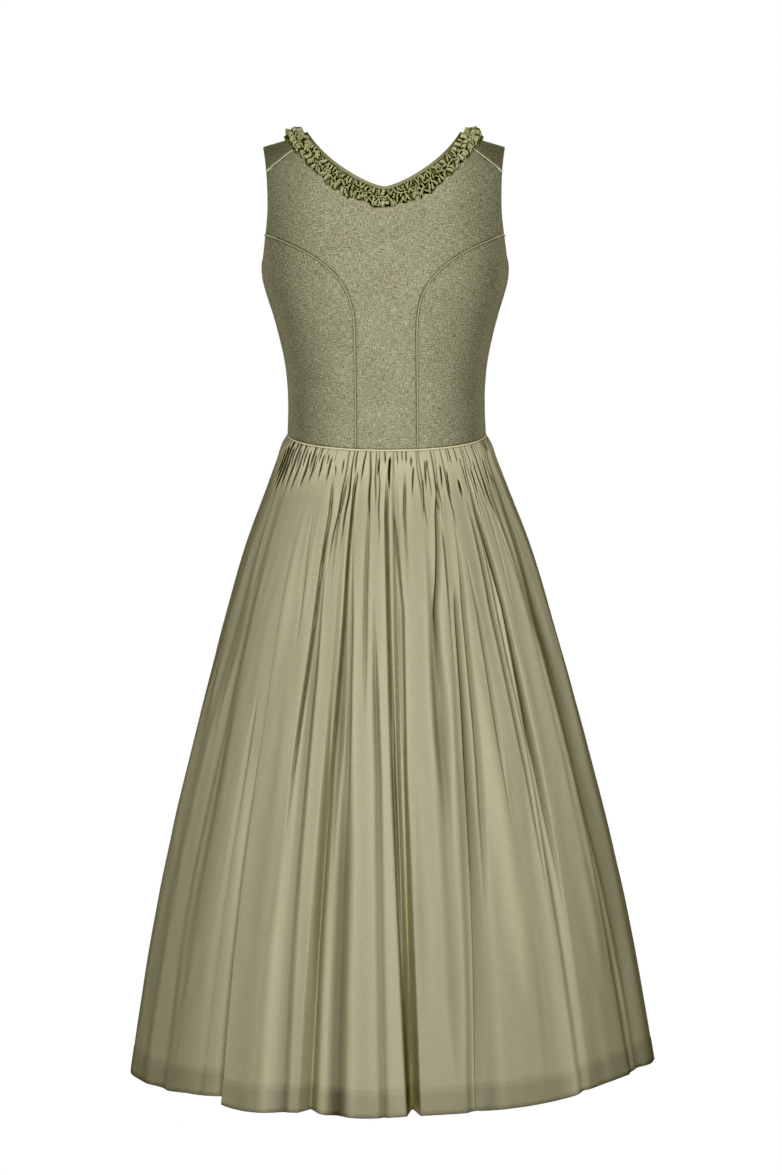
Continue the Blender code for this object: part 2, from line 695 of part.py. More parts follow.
def skirt_columns(start, end):
    """Angles of the cloth's columns between two seams, closest together in the folds."""
    hem_radius = smooth(1.0, SKIRT["share"], SKIRT["half_width"])
    wanted = [start, end]
    for i in range(len(FOLDS["hem"])):
        low = math.degrees(FOLDS["reach_low"][i] / hem_radius)
        high = math.degrees(FOLDS["reach_high"][i] / hem_radius)
        centre = FOLDS["hem"][i]
        wanted += [centre - low, centre - low / 2, centre, centre + high / 2, centre + high]
    wanted = sorted(angle for angle in wanted if start <= angle <= end)
    columns = [wanted[0]]
    for angle in wanted[1:]:
        gap = angle - columns[-1]
        if gap < SKIRT_LEAST_STEP:
            columns[-1] = angle if angle == end else columns[-1]
            continue
        parts = int(gap // SKIRT_FILL_STEP) + 1
        columns += [columns[-1] + gap * (part + 1) / parts for part in range(parts)]
    return columns


def build_skirt_panel(name, start, end, finish):
    """One width of the skirt between two seams."""
    columns = skirt_columns(start, end)
    count = len(columns)
    outer = []
    inner = []
    for share in SKIRT_LEVELS:
        row = [skirt_point(angle, share) for angle in columns]
        row[0] = row[0] + (row[1] - row[0]) / np.linalg.norm(row[1] - row[0]) * SEAM_GAP / 2
        row[-1] = row[-1] + (row[-2] - row[-1]) / np.linalg.norm(row[-2] - row[-1]) * SEAM_GAP / 2
        runs = [(b - a)[:2] / np.linalg.norm((b - a)[:2]) for a, b in zip(row, row[1:])]
        outer += row
        for i in range(count):
            before = runs[max(i - 1, 0)]
            after = runs[min(i, count - 2)]
            mean = before + after
            mean = mean / np.linalg.norm(mean)
            mitre = max(mean.dot(before), 0.6)
            inwards = np.array((-mean[1], mean[0], 0.0)) * SKIRT_WALL / mitre
            inner.append(row[i] + inwards)
    rows = len(SKIRT_LEVELS)
    size = rows * count
    faces = grid_faces(rows, count)
    faces += [tuple(reversed(face)) for face in grid_faces(rows, count, offset=size)]
    for column in range(count - 1):
        faces.append((column + 1, column, size + column, size + column + 1))
        low = (rows - 1) * count + column
        faces.append((low, low + 1, size + low + 1, size + low))
    for row in range(rows - 1):
        low = row * count
        faces.append((low, low + count, size + low + count, size + low))
        high = low + count - 1
        faces.append((high + count, high, size + high, size + high + count))
    add_object(name, outer + inner, faces, finish)


def build_skirt(satin):
    """Four widths, seamed at the sides, at the centre front and in the centre back fold."""
    back_seam = FOLDS["hem"][np.abs(FOLDS["hem"]).argmin()]
    build_skirt_panel("skirt_back_left", -SIDE_SEAM, back_seam, satin)
    build_skirt_panel("skirt_back_right", back_seam, SIDE_SEAM, satin)
    build_skirt_panel("skirt_front_right", SIDE_SEAM, FRONT_SEAM, satin)
    build_skirt_panel("skirt_front_left", -FRONT_SEAM, -SIDE_SEAM, satin)


def main():
    for thing in list(bpy.data.objects):
        bpy.data.objects.remove(thing, do_unlink=True)
    linen = material("linen", (0.20, 0.19, 0.11), 0.85)
    piping = material("piping", (0.30, 0.29, 0.19), 0.7)
    satin = material("satin", (0.32, 0.30, 0.19), 0.55)
    build_bodice(linen, piping)
    build_underlap(linen)
    build_neck(satin)
    build_waist_cord(piping)
    build_skirt(satin)


main()
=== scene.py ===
"""The looks of the dirndl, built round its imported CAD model.

Lengths are in millimetres and are turned into metres where the meshes are made. The back
of the dress faces -Y, where the camera stands, and +X is the wearer's right.
"""
import math
import random

import bpy
import numpy as np
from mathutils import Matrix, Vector
from mathutils.geometry import delaunay_2d_cdt


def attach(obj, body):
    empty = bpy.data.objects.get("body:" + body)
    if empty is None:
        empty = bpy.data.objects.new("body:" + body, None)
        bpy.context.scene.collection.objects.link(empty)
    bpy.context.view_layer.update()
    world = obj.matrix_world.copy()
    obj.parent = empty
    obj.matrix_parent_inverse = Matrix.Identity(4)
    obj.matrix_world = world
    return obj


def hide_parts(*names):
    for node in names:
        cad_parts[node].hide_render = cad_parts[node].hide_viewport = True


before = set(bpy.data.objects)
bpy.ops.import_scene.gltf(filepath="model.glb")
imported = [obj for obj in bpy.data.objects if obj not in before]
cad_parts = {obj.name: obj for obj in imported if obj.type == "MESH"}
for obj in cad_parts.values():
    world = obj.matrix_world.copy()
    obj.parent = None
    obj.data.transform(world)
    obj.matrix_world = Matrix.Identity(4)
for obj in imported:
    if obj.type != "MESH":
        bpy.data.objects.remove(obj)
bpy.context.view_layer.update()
MM = 0.001

# ---- sizes shared with the CAD
LEAN = 0.0095
RIDGE_TOP = 12.0
RIDGE_DROP = 62.0
RIDGE_RUN = 118.0
RIDGE_FOOT = RIDGE_TOP - RIDGE_DROP
NECK_HALF = 100.0
SHOULDER_HALF = 160.0
SHOULDER_SLOPE = 17.0
SLOPE_HEAD = -20.0
SLOPE_FOOT = -110.0
BACK_NECK_DEPTH = 75.0
FRONT_NECK_DEPTH = 160.0
SHOULDER_SEAM_NECK = 95.5
SHOULDER_SEAM_DROP = 40.0
WAIST_SIDE = -381.0
WAIST_DIP = 21.0
FRONT_DIP_SHARE = 0.7
UNDERARM = -172.0
UNDERARM_ROUND = 26.0
HEM_HEIGHT = -1229.0
SKIRT_TOP_GAP = 1.15

# ---- the bodice's looks
PANEL_WALL = 1.2
PANEL_MESH = 4.2
MESH_ROW_RATIO = 0.87
BORDER_INSET = 1.1
BORDER_CLEAR = 0.7
BORDER_SPACE = 1.2
CORNER_COSINE = 0.97
EDGE_STEP = 4.0
PLAIN_INSET = 0.15
PIPED_INSET = 0.95
WAIST_INSET = 1.2
EDGE_ROLL = 0.9
EDGE_ROLL_WIDTH = 2.6
# Painted shade towards the sides of the bodice, where its cloth turns away from the light, fading
# out again near the side seams.
SIDE_SHADE = 0.44
SIDE_SHADE_FROM = 0.2
SIDE_SHADE_RUN = 0.92
SIDE_SHADE_FADE = 0.95
SIDE_SHADE_FADE_RUN = 0.5
# Painted shade beside the piped seams, where the cords' shadow falls.
PIPING_SHADE = 0.75
PIPING_SHADE_WIDTH = 1.3
PATTERN_SCALE = np.array((130.0, 1.0))
WEAVE_RADIUS = 150.0
WEAVE_POWER = 0.87
CORD_RADIUS = 0.9
CORD_SINK = 0.1
CORD_STEP = 3.0
CORD_SIDES = 12
CORD_END_GAP = 0.4
WAIST_CORD_RADIUS = 1.1
WAIST_CORD_STEPS = 260
UNDERLAP_WIDTH = 30.0
UNDERLAP_WALL = 1.0
UNDERLAP_DEPTH = 2.8
UNDERLAP_TOP_GAP = 5.0
SHARP_EDGE = 60

# ---- the neck's looks
TRIM_LIFT = 1.2
TRIM_WIDTH = 29.0
BINDING_WIDTH = 4.6
BINDING_THICK = 1.8
BINDING_STEP = 2.5
BINDING_SIDES = 14
RUCHE_STEP = 0.55
RUCHE_ROWS = 52
RUCHE_FLOOR = 3.6
RUCHE_REACH = 9.0
SHOULDER_RUN = 32.0

# ---- the skirt's looks
SKIRT_WALL = 0.9
SKIRT_INSET = 0.02
SKIRT_COLUMNS = 481
SKIRT_ROWS = 157
FRONT_COLUMNS = 381
FRONT_ROWS = 131
SKIRT_LENGTH = 860.0
WEAVE_SHIFT = 900.0
RIPPLE_HEIGHT = 0.2
CREST_HEIGHT = 1.6
SEAM_DIP = 0.7
SEAM_DIP_WIDTH = 1.6
SEAM_CALM = 12.0
WAIST_PUFF = 2.0
WAIST_PUFF_SHARE = 0.012
WAIST_PUFF_WIDTH = 0.016
HEM_TURN = 31.0
HEM_TURN_RISE = 0.5
STITCH_DEPTH = 0.8
STITCH_WIDTH = 0.9
STITCH_SHARE = 0.963
# Painted shade of the skirt: a band above the hem, an even shade over the cloth that lifts on the
# gathers' crests as a painted highlight, and shade in soft and sharp creases, slits and gathers.
HEM_SHADE = 0.17
EVEN_SHADE = 0.34
SOFT_SHADE = 0.033
SHARP_SHADE = 0.6
SLIT_POWER = 2.0
SLIT_REACH = 0.2
SLIT_SHADE = 1.5
GATHER_PITCH = (1.4, 3.0)
GATHER_FAN = -46.0
GATHER_WANDER = 9.0
GATHER_REACH = (0.34, 0.5)
GATHER_SHADE = 1.4
DARKEST_DEPTH = 9.0
CLEAR_SHARE = 0.035
CLEAR_ANGLE = 0.8

# The ranges of foot and depth of each kind of fine gather, but top and foot of the low kind.
USUAL_GATHER = ((0.05, 0.085), (3.2, 4.6))
SHORT_GATHER = ((0.02, 0.035), (4.5, 6.5))
LOW_GATHER = ((0.01, 0.025), (0.06, 0.1))
LONG_FRONT_GATHER = ((0.1, 0.17), (4.5, 6.0))
LONG_BACK_GATHER = ((0.1, 0.22), (3.4, 4.6))

# ---- finishes and stage
# The dark colour that painted shade draws the cloth's colour towards, in creases, beside seams and
# towards the sides.
PAINTED_SHADE_COLOUR = (0.13, 0.13, 0.13)
SHEEN_TINT = (1.0, 0.96, 0.66, 1.0)
THREAD_STRETCH = 0.14
BUMP_HEIGHT = 0.0004
FLOOR_RADIUS = 0.66
FLOOR_DROP = 280.0
FLOOR_SIDES = 64
SOFT_BOX = 1.3
CAMERA_DISTANCE = 4.5
CAMERA_TILT = 2.35


def table(columns, rows):
    """Rows of numbers, read by the names of their columns."""
    return {name: np.array(values, float) for name, values in zip(columns, zip(*rows))}


# One row for each level of the general figure that the bodice is cut for.
FORM = table(("height", "half_width", "back_depth", "front_depth", "roundness"), [
    (-410, 131.5, 93.0, 96.0, 2.15),
    (-383, 130.7, 93.0, 97.0, 2.15),
    (-350, 129.4, 92.0, 99.0, 2.15),
    (-318, 130.0, 92.0, 103.0, 2.15),
    (-286, 133.3, 93.5, 110.0, 2.2),
    (-254, 140.0, 96.0, 119.0, 2.2),
    (-222, 148.5, 99.0, 126.0, 2.25),
    (-199, 155.8, 101.5, 127.0, 2.3),
    (-178, 161.2, 103.0, 125.0, 2.3),
    (-160, 162.8, 103.5, 121.0, 2.3),
    (-135, 164.0, 102.5, 113.0, 2.3),
    (-110, 166.0, 98.5, 103.0, 2.3),
    (-80, 169.0, 93.5, 93.0, 2.3),
    (-50, 172.0, 90.0, 88.0, 2.3),
    (12, 180.0, 90.0, 88.0, 2.3),
])

# One row for each level of the armhole's edge.
ARMHOLE = table(("height", "back_half_width", "front_half_width"), [
    (-172, 161.3, 161.3),
    (-158, 160.5, 157.8),
    (-135, 158.0, 150.0),
    (-114, 155.2, 145.0),
    (-95, 153.2, 142.5),
    (-60, 152.9, 144.0),
    (-40, 153.9, 148.0),
    (-20, 156.1, 153.0),
    (-5, 158.6, 158.6),
])

# One row for each level of the skirt; the share runs from the waist to the hem.
SKIRT = table(("share", "half_width", "depth_ratio", "roundness"), [
    (0.000, 131.0, 0.720, 2.15),
    (0.020, 139.0, 0.735, 2.12),
    (0.045, 147.5, 0.755, 2.1),
    (0.080, 158.5, 0.775, 2.08),
    (0.155, 182.5, 0.800, 2.05),
    (0.275, 213.5, 0.825, 2.0),
    (0.434, 249.5, 0.850, 2.0),
    (0.593, 282.5, 0.858, 2.0),
    (0.752, 311.5, 0.862, 2.0),
    (0.911, 334.5, 0.866, 2.0),
    (1.000, 346.0, 0.868, 2.0),
])

# One row for each large fold, as in the CAD: its angle from the centre back at four levels,
# its depth at three of them, its reach to either side at the hem, and how far its bottom
# slides under the cloth on its +angle side.
LEVELS = (0.0, 0.12, 0.45, 1.0)
FOLDS = table(("waist", "upper", "middle", "hem", "upper_depth", "middle_depth", "hem_depth",
               "reach_low", "reach_high", "slide"), [
    (-166, -165, -163, -162, 4, 14, 24, 30, 26, 0),
    (-141, -142, -144, -143, 4, 12, 16, 26, 34, 0),
    (-118, -119, -117, -115, 4, 16, 34, 44, 12, 10),
    (-93, -92, -91, -91, 3, 6, 12, 28, 28, 0),
    (-62, -61, -59.5, -60, 2, 6, 9, 46, 40, 0),
    (-44, -43, -41.2, -39.8, 0, 3, 46, 34, 7, 18),
    (-17, -16.8, -17.2, -18.6, 4, 12, 22, 10, 32, 0),
    (2.5, 3.0, 3.2, 4.6, 4, 12, 46, 11, 8, 0),
    (31, 26.6, 21.6, 17.3, 3, 8, 8, 14, 22, 0),
    (45, 43.2, 44.7, 44, 4, 12, 6, 26, 16, 0),
    (60, 60.6, 64, 67, 4, 10, 12, 40, 64, 0),
    (93, 92, 91, 91, 3, 6, 12, 28, 28, 0),
    (121, 120, 122, 124, 4, 18, 38, 16, 46, -12),
    (146, 147, 145, 143, 4, 12, 18, 30, 24, 0),
    (166, 167, 168, 166, 4, 14, 26, 26, 30, 0),
])

# One row for each place round the hem: how far it hangs above the lowest point.
HEM = table(("angle", "lift"), [
    (-180, 10), (-130, 10), (-90, 13), (-75, 12), (-60, 9), (-43, 11), (-36, 2), (-18, 4), (-6, 0),
    (4, 3), (20, 6), (37, 12), (48, 21), (55, 25), (68, 27), (90, 26), (130, 18), (180, 10),
])

# One row for each soft crease that runs straight down, or ridge where its depth is negative:
# its angle, start, stop and depth, and its reach to either side, as in the table after it.
STRAIGHT_CREASES = (
    (-77, 0.3, 1.4, -5, 9, 8), (-64.5, 0.3, 1.2, 1.5, 3, 3), (-58, 0.4, 1.4, -5, 4, 4),
    (-55.5, 0.3, 0.9, 2.5, 5, 5), (-44.5, 0.5, 1.5, 3, 2.5, 2), (-39, 0.04, 0.4, -3.5, 5, 5),
    (-31, 0.03, 0.3, -3.5, 3.5, 3), (-28, 0.5, 1.4, -4, 3, 2.6), (7.5, 0.45, 0.9, 2.5, 2, 2.2),
    (36, 0, 0.42, 3, 7, 6), (42, 0.4, 1.5, -6, 5, 5), (42.5, 0.6, 1.5, -3.5, 2.5, 2.5),
    (43, 0.2, 0.7, -3.5, 2, 2), (49.5, 0.72, 1.2, 1.5, 4, 4), (56, 0.04, 0.9, -3.5, 6, 5),
    (66, 0.45, 1.5, -3, 3.5, 3.5), (67, 0.5, 1.4, -5, 4, 4),
)

# One row for each smaller crease of the skirt: its angle at five levels, the shares of the
# way down where it starts and stops, its depth in millimetres, its reach to either side in
# degrees, how sharp its bottom is, from 0 for a soft hollow to 1 for a slit between tubes,
# and how far its bottom slides under the cloth on its +angle side, in millimetres.
CREASE_LEVELS = (0.0, 0.1, 0.25, 0.5, 1.0)
CREASES = table(("at_waist", "at_tenth", "at_quarter", "at_half", "at_hem", "start", "stop",
                 "depth", "reach_low", "reach_high", "sharp", "slide"), [
    (-67.5, -67.5, -67, -66.5, -66, 0.02, 0.5, 4.5, 7, 6, 0, 0),
    (-42.5, -42.5, -42.5, -42.5, -42, 0.45, 1.2, 3.5, 1.2, 1, 0.6, 0),
    (-45.5, -45.5, -45.3, -45, -45, 0.36, 1.2, 3, 1.2, 0.9, 0.8, 0),
    (-36.5, -34.6, -32.6, -32.5, -32, 0.07, 0.34, 5, 2.2, 1.4, 0.5, 0),
    (-35, -35, -35, -34.5, -34.5, 0.3, 1.2, 2, 4.8, 3.6, 0, 0),
    (-28.2, -25.8, -26.5, -27.9, -29, 0.03, 0.62, 9.5, 1.2, 1.4, 1, -3),
    (-18, -18, -18, -18, -18.3, 0.3, 0.9, 6, 1, 1, 0, 0),
    (-24.8, -24.8, -25, -24.4, -23.6, 0.12, 1.2, 7.5, 2.4, 2, 0.2, 0),
    (-17.6, -21, -21.7, -22, -22, 0.02, 0.25, 8, 1.1, 0.9, 1, -2),
    (-18.5, -19.8, -20, -20, -20, 0.08, 0.2, 4, 0.8, 0.8, 0.8, 0),
    (-15.2, -15.6, -16, -17, -18.3, 0.02, 1.2, 9.5, 1, 1.4, 1, -2),
    (-14.5, -14.8, -15, -14.8, -15.4, 0.12, 0.6, 5, 2.2, 4, 0, 0),
    (-14.6, -14.4, -13, -11.5, -12, 0.1, 0.6, 6, 1.6, 1.2, 0.5, 0),
    (-15.5, -15.5, -15.5, -15.6, -15.8, 0.5, 1.4, -7, 2, 2, 0, 0),
    (-12, -12, -11.6, -12, -11.8, 0.36, 1.4, 12.5, 2.8, 3.2, 0, 0),
    (-6.6, -7.8, -8, -7, -6, 0.02, 0.45, 5, 1.4, 1.2, 0.6, 0),
    (-5.5, -5.4, -5, -3.1, -1.9, 0.2, 1.2, 7, 1.5, 1.4, 0.4, 0),
    (0.2, -0.5, 0, 0.9, 3.4, 0.02, 1.1, 9, 1.1, 1.4, 0.9, 0),
    (9, 7.1, 7.4, 7.4, 7.4, 0.02, 0.24, 9, 1.1, 1.2, 1, 0),
    (2, 2.8, 5.2, 4.2, 4.3, 0.06, 1.1, 6, 1.3, 0.9, 0.9, 0),
    (2.5, 3, 3.2, 3.4, 4.6, 0.4, 1.2, -6, 2, 1.7, 0, 0),
    (1.3, 1.3, 1.3, 1.3, 3.4, 0.3, 1.4, 8, 0.9, 0.9, 0, 0),
    (14.5, 14.5, 14.5, 14.6, 14, 0.24, 1, 4.5, 2.6, 2.6, 0, 0),
    (28, 21.8, 16.9, 15.6, 15, 0.03, 0.4, 11, 1.3, 2.2, 1, -2),
    (25, 23.6, 22.4, 22, 22, 0.1, 0.38, 8, 0.8, 0.9, 1, 0),
    (16, 16, 16, 15.5, 15.5, 0.08, 0.62, 8, 3.5, 3.5, 0, 0),
    (31, 27.4, 25, 22.3, 18, 0.2, 1.1, 10, 0.9, 1.8, 1, -2),
    (27, 26, 24.5, 22.6, 20.5, 0.3, 1.3, 4.5, 3, 3.5, 0, 0),
    (30, 30, 29.5, 30, 32, 0.28, 0.9, -4.5, 5, 5, 0, 0),
    (33.5, 30, 27.8, 25.4, 20.5, 0.08, 0.74, 7, 1.5, 1.8, 0.5, 0),
    (32, 31, 33.6, 33.2, 33, 0.14, 0.6, 5.5, 1.2, 1.6, 0.6, 1),
    (41, 39.4, 39.6, 41.4, 39.8, 0.05, 0.74, 7.5, 1.4, 1.8, 0.8, 1.5),
    (36, 36, 36, 36, 35, 0.7, 1.0, 4, 3, 3, 0, 0),
    (44, 43.6, 45.7, 46.2, 46.2, 0.03, 0.76, 12, 1.2, 1.4, 1, 2),
    (46.5, 47.8, 47.8, 48, 48, 0.04, 0.16, 4.5, 1, 1, 0.9, 0),
    (48, 51, 50.2, 50, 50, 0.02, 0.3, 6, 1.2, 1.2, 0.8, 0),
    (52, 54, 58, 60, 61, 0.06, 0.32, 3.5, 1.1, 1.2, 0.8, 0),
    (60.5, 60.5, 60.5, 61, 61, 0.08, 0.8, -5.5, 4, 4, 0, 0),
    (60.5, 61, 62.4, 65, 67.8, 0.02, 0.6, 3, 1.3, 3, 0.4, 1),
    (70, 70, 70.5, 71, 72, -0.08, 0.55, 7, 8, 8, 0, 0),
    (66, 67, 68, 69, 70, 0.1, 0.95, 6, 6, 8, 0, 0),
    (70.5, 71, 71.5, 73, 75, 0.05, 0.45, 3.5, 2.6, 2.6, 0.2, 0),
    (84, 84, 85, 86, 88, 0.1, 1.2, 4, 4, 4, 0.2, 0),
    (98, 98, 99, 100, 101, 0.05, 0.6, 6, 1.8, 2.2, 0.8, 0),
    (106, 107, 108, 108, 109, 0.1, 1.2, 6, 3.4, 2.6, 0.2, 0),
    (113, 112.5, 113, 114, 115, 0.03, 0.75, 7, 1.3, 1.8, 1, -2),
    (121, 120, 121, 122, 124, 0.04, 0.55, 7, 1.3, 1.7, 0.9, 2),
    (128, 129, 130, 131, 132, 0.12, 1.2, 6.5, 3, 2.8, 0.1, 0),
    (136, 135, 134.5, 136, 138, 0.03, 0.42, 6, 1.2, 1.4, 1, 0),
    (147, 147, 146, 145, 143, 0.03, 1.2, 6.5, 1.3, 2, 0.9, -2),
    (152, 153.5, 154.5, 155, 155, 0.1, 1.2, 6, 2.8, 3.2, 0.2, 0),
    (160, 160, 161.5, 161, 160, 0.03, 0.6, 6.5, 1.3, 1.3, 0.9, 0),
    (173, 174, 174, 175, 176, 0.04, 1.2, 7, 1.8, 2, 0.6, 0),
    (-174, -173.5, -172, -172, -171, 0.04, 0.65, 7.5, 1.3, 1.6, 1, 2),
    (-158, -157, -156, -154, -152, 0.1, 1.2, 6.5, 3.2, 2.8, 0.2, 0),
    (-149, -149.5, -149, -149, -148, 0.03, 0.5, 7, 1.2, 1.4, 1, 0),
    (-135, -133, -131, -130, -131, 0.05, 1.2, 7, 1.4, 2.4, 0.8, 0),
    (-125, -126, -125, -124, -123, 0.03, 0.38, 6.5, 1.2, 1.4, 0.9, 0),
    (-111, -111, -110.5, -110, -110, 0.1, 1.2, 6, 3.2, 2.6, 0.1, 0),
    (-104, -103, -103, -103, -102, 0.03, 0.7, 6.5, 1.3, 1.9, 0.9, -1.5),
    (-97, -97.5, -96, -96, -95, 0.03, 0.35, 6, 1.3, 1.5, 0.9, 0),
    (-86, -86, -85, -84, -83, 0.1, 0.8, 4, 4, 3.6, 0.2, 0),
] + [(angle,) * len(CREASE_LEVELS) + tuple(row) + (0, 0) for angle, *row in STRAIGHT_CREASES])

# One row for each deep slit between two gathers of the back: its angle and share at its top
# and at its foot, and its depth.
SLITS = table(("top", "foot", "start", "stop", "depth"), [
    (-71.5, -74.5, 0.008, 0.075, 8), (-68.2, -71.6, 0.004, 0.088, 9), (-65, -69, 0, 0.1, 9),
    (-62, -64.8, 0.003, 0.085, 9), (-59, -60.6, 0, 0.05, 8), (-56.2, -59.4, 0, 0.092, 9),
    (-53.3, -54.6, 0.004, 0.05, 8), (-50.8, -54, 0, 0.09, 9), (-48, -49.2, 0.003, 0.045, 8),
    (-45.4, -47.6, 0.003, 0.078, 9), (-42.8, -44, 0, 0.045, 8), (-40.2, -42.8, 0.006, 0.07, 8),
    (-37.4, -38.2, 0, 0.03, 7), (-34.8, -37, 0.005, 0.06, 8), (-32, -32.6, 0.003, 0.03, 7),
    (-29.6, -31.6, 0.008, 0.062, 8), (-27, -26, 0.02, 0.045, 6),
    (-22, -23.1, 0.01, 0.045, 6), (-15, -16.2, 0, 0.045, 6), (-14.4, -15.2, 0.03, 0.095, 5),
    (-10.6, -12.6, 0, 0.06, 6), (-3, -5, 0.005, 0.05, 6), (1.2, 0.6, 0.005, 0.075, 8),
    (11.9, 11.2, 0.005, 0.03, 6), (13.2, 10.4, 0.02, 0.08, 5), (17.5, 14.6, 0.04, 0.12, 4),
    (20.6, 19.5, 0.01, 0.04, 5), (28, 26.4, 0.02, 0.07, 6), (31.5, 29.6, 0.03, 0.09, 4.5),
    (37.2, 37.4, 0.045, 0.085, 7), (47.5, 47.8, 0.03, 0.09, 5), (51, 52.5, 0.02, 0.12, 5),
    (61, 61, 0.02, 0.08, 6), (64.5, 68.5, 0.05, 0.085, 5),
])

# One row for each row of folds in the ruching: its place across the trim, how far its folds
# wander from it, their pitch, half length, half width, greatest lean in degrees, and height.
RUCHE_FOLDS = (
    (9.5, 1.0, 3.5, 5.6, 2.7, 30, 7.5),
    (16.5, 1.8, 3.4, 3.8, 2.5, 80, 10.0),
    (23.0, 1.2, 3.8, 6.0, 3.2, 42, 8.8),
)


def smooth(rows, column, at):
    """A curve with no corners through a column of a table, at places on its first column."""
    xs, ys = next(iter(rows.values())), rows[column]
    at = np.clip(at, xs[0], xs[-1])
    index = np.clip(np.searchsorted(xs, at, side="right") - 1, 0, len(xs) - 2)
    slopes = np.gradient(ys, xs)
    span = xs[index + 1] - xs[index]
    t = (at - xs[index]) / span
    start = ((2 * t ** 3 - 3 * t ** 2 + 1) * ys[index]
             + (t ** 3 - 2 * t ** 2 + t) * span * slopes[index])
    end = (3 * t ** 2 - 2 * t ** 3) * ys[index + 1] + (t ** 3 - t ** 2) * span * slopes[index + 1]
    return start + end


def ease(t):
    """0 to 1 with a soft start and end."""
    t = np.clip(t, 0.0, 1.0)
    return t * t * (3 - 2 * t)


def signed_power(base, power):
    """A power that keeps the sign of its base."""
    return np.sign(base) * np.abs(base) ** power


def unit(vectors):
    """The same directions, each of length one."""
    return vectors / np.linalg.norm(vectors, axis=-1)[..., None]


def running_total(steps):
    """The total so far, from 0 up to all of the steps."""
    return np.concatenate(((0.0,), np.cumsum(steps)))


def spread(values, rows, columns):
    """Values of a grid, each the mean of its neighbours this far around."""
    for reach in (rows, columns):
        width = 2 * reach + 1
        total = np.cumsum(np.pad(values, ((reach, reach), (0, 0)), mode="edge"), axis=0)
        total = np.pad(total, ((1, 0), (0, 0)))
        values = ((total[width:] - total[:-width]) / width).T
    return values


# ---- the bodice's form
# A place on the bodice is (angle, drop): the angle from the centre back or centre front
# towards the side, and the length of cloth down from the shoulder ridge, positive down the
# back and negative down the front. A line is an array of places. A side is 1 for the back
# and -1 for the front, and a sign is 1 for the right and -1 for the left.

def shoulder_fall(x, height):
    """How much lower the sloping shoulder lies than its neck end."""
    outwards = np.maximum(np.abs(x) - NECK_HALF, 0.0) / (SHOULDER_HALF - NECK_HALF)
    return SHOULDER_SLOPE * outwards * ease((height - SLOPE_FOOT) / (SLOPE_HEAD - SLOPE_FOOT))


def form_points(places):
    """The points of the figure at places on the bodice."""
    angle, drop = places[:, 0], places[:, 1]
    turn = np.minimum(np.abs(drop) / RIDGE_RUN, 1.0) * math.pi / 2
    below = np.maximum(np.abs(drop) - RIDGE_RUN, 0.0)
    height = RIDGE_TOP - RIDGE_DROP * (1 - np.cos(turn)) - below
    back = smooth(FORM, "back_depth", height)
    front = smooth(FORM, "front_depth", height)
    depth = np.where(drop >= 0, back, -front) * np.sin(turn)
    power = 2.0 / smooth(FORM, "roundness", height)
    x = smooth(FORM, "half_width", height) * signed_power(np.sin(angle), power)
    y = -depth * signed_power(np.cos(angle), power)
    return np.stack((x, y, height - shoulder_fall(x, height)), axis=1)


def form_frames(places):
    """Points, edge directions and outward normals at places."""
    along, down = ((form_points(places + step) - form_points(places - step)) / (2 * step.max())
                   for step in (np.array((0.002, 0.0)), np.array((0.0, 0.3))))
    return form_points(places), along, down, unit(np.cross(down, along))


def drops_at(height):
    """Cloth length from the ridge to a height, without its sign."""
    turn = np.arccos(np.clip(1 - (RIDGE_TOP - height) / RIDGE_DROP, -1.0, 1.0))
    over_ridge = RIDGE_RUN * turn / (math.pi / 2)
    return np.where(height >= RIDGE_FOOT, over_ridge, RIDGE_RUN + RIDGE_FOOT - height)


def places_at(x, z, side):
    """The places at x and z, on the back or the front."""
    x, z = np.broadcast_arrays(np.asarray(x, float), np.asarray(z, float))
    height = z
    for _ in range(30):
        height = np.minimum(z + shoulder_fall(x, height), RIDGE_TOP)
    half_width = smooth(FORM, "half_width", height)
    roundness = smooth(FORM, "roundness", height)
    sine = np.minimum(np.abs(x) / half_width, 1.0) ** (roundness / 2)
    return np.stack((np.sign(x) * np.arcsin(sine), side * drops_at(height)), axis=-1)


def waist_height(angle, side):
    """Height of the waist seam, which dips towards the centre back and centre front."""
    return WAIST_SIDE - WAIST_DIP * np.where(side > 0, 1.0, FRONT_DIP_SHARE) * np.abs(np.cos(angle))


def line_lengths(line):
    """How far along the cloth each place of a line lies from its start."""
    return running_total(np.linalg.norm(np.diff(form_points(line), axis=0), axis=1))


def places_along(line, start, stop, count):
    """Evenly spaced places on a line, between two distances from its start."""
    run = line_lengths(line)
    at = np.linspace(start, stop, count)
    return np.stack([np.interp(at, run, column) for column in line.T], axis=1)


def resample(line, step=EDGE_STEP):
    """The same line with its places this far apart on the cloth."""
    length = line_lengths(line)[-1]
    return places_along(line, 0.0, length, max(int(round(length / step)), 1) + 1)


# ---- lines on the bodice
def neck_height(x, side):
    """Height of the neckline: a soft V at the back, a rounder scoop at the front."""
    out = np.abs(x) / NECK_HALF
    if side > 0:
        return RIDGE_TOP - BACK_NECK_DEPTH * (1 - 0.8 * out ** 1.4 - 0.2 * out ** 6)
    return RIDGE_TOP - FRONT_NECK_DEPTH * (1 - 0.45 * out ** 2 - 0.55 * out ** 5)


def neckline(x_from, x_to, side):
    """Neckline on one side, from one x to the other."""
    x = np.linspace(x_from, x_to, 90)
    return places_at(x, neck_height(x, side), side)


def princess_x(z, side):
    """Distance of the shaping seam from the centre at a height: upright, then curving out."""
    if side > 0:
        return 40.0 + 114.0 * np.maximum((z + 270.0) / 147.0, 0.0) ** 3.4
    return (58.0 + 26.0 * ease((z + 385.0) / 150.0)
            + 62.0 * np.maximum((z + 225.0) / 100.0, 0.0) ** 2.2)


def armhole_x(z, side):
    """Distance of the armhole's edge from the centre at a height."""
    return smooth(ARMHOLE, "back_half_width" if side > 0 else "front_half_width", z)


def crossing(side):
    """Height at which the shaping seam runs into the armhole."""
    heights = np.arange(-160.0, -90.0, 0.25)
    return heights[np.argmax(princess_x(heights, side) >= armhole_x(heights, side))]


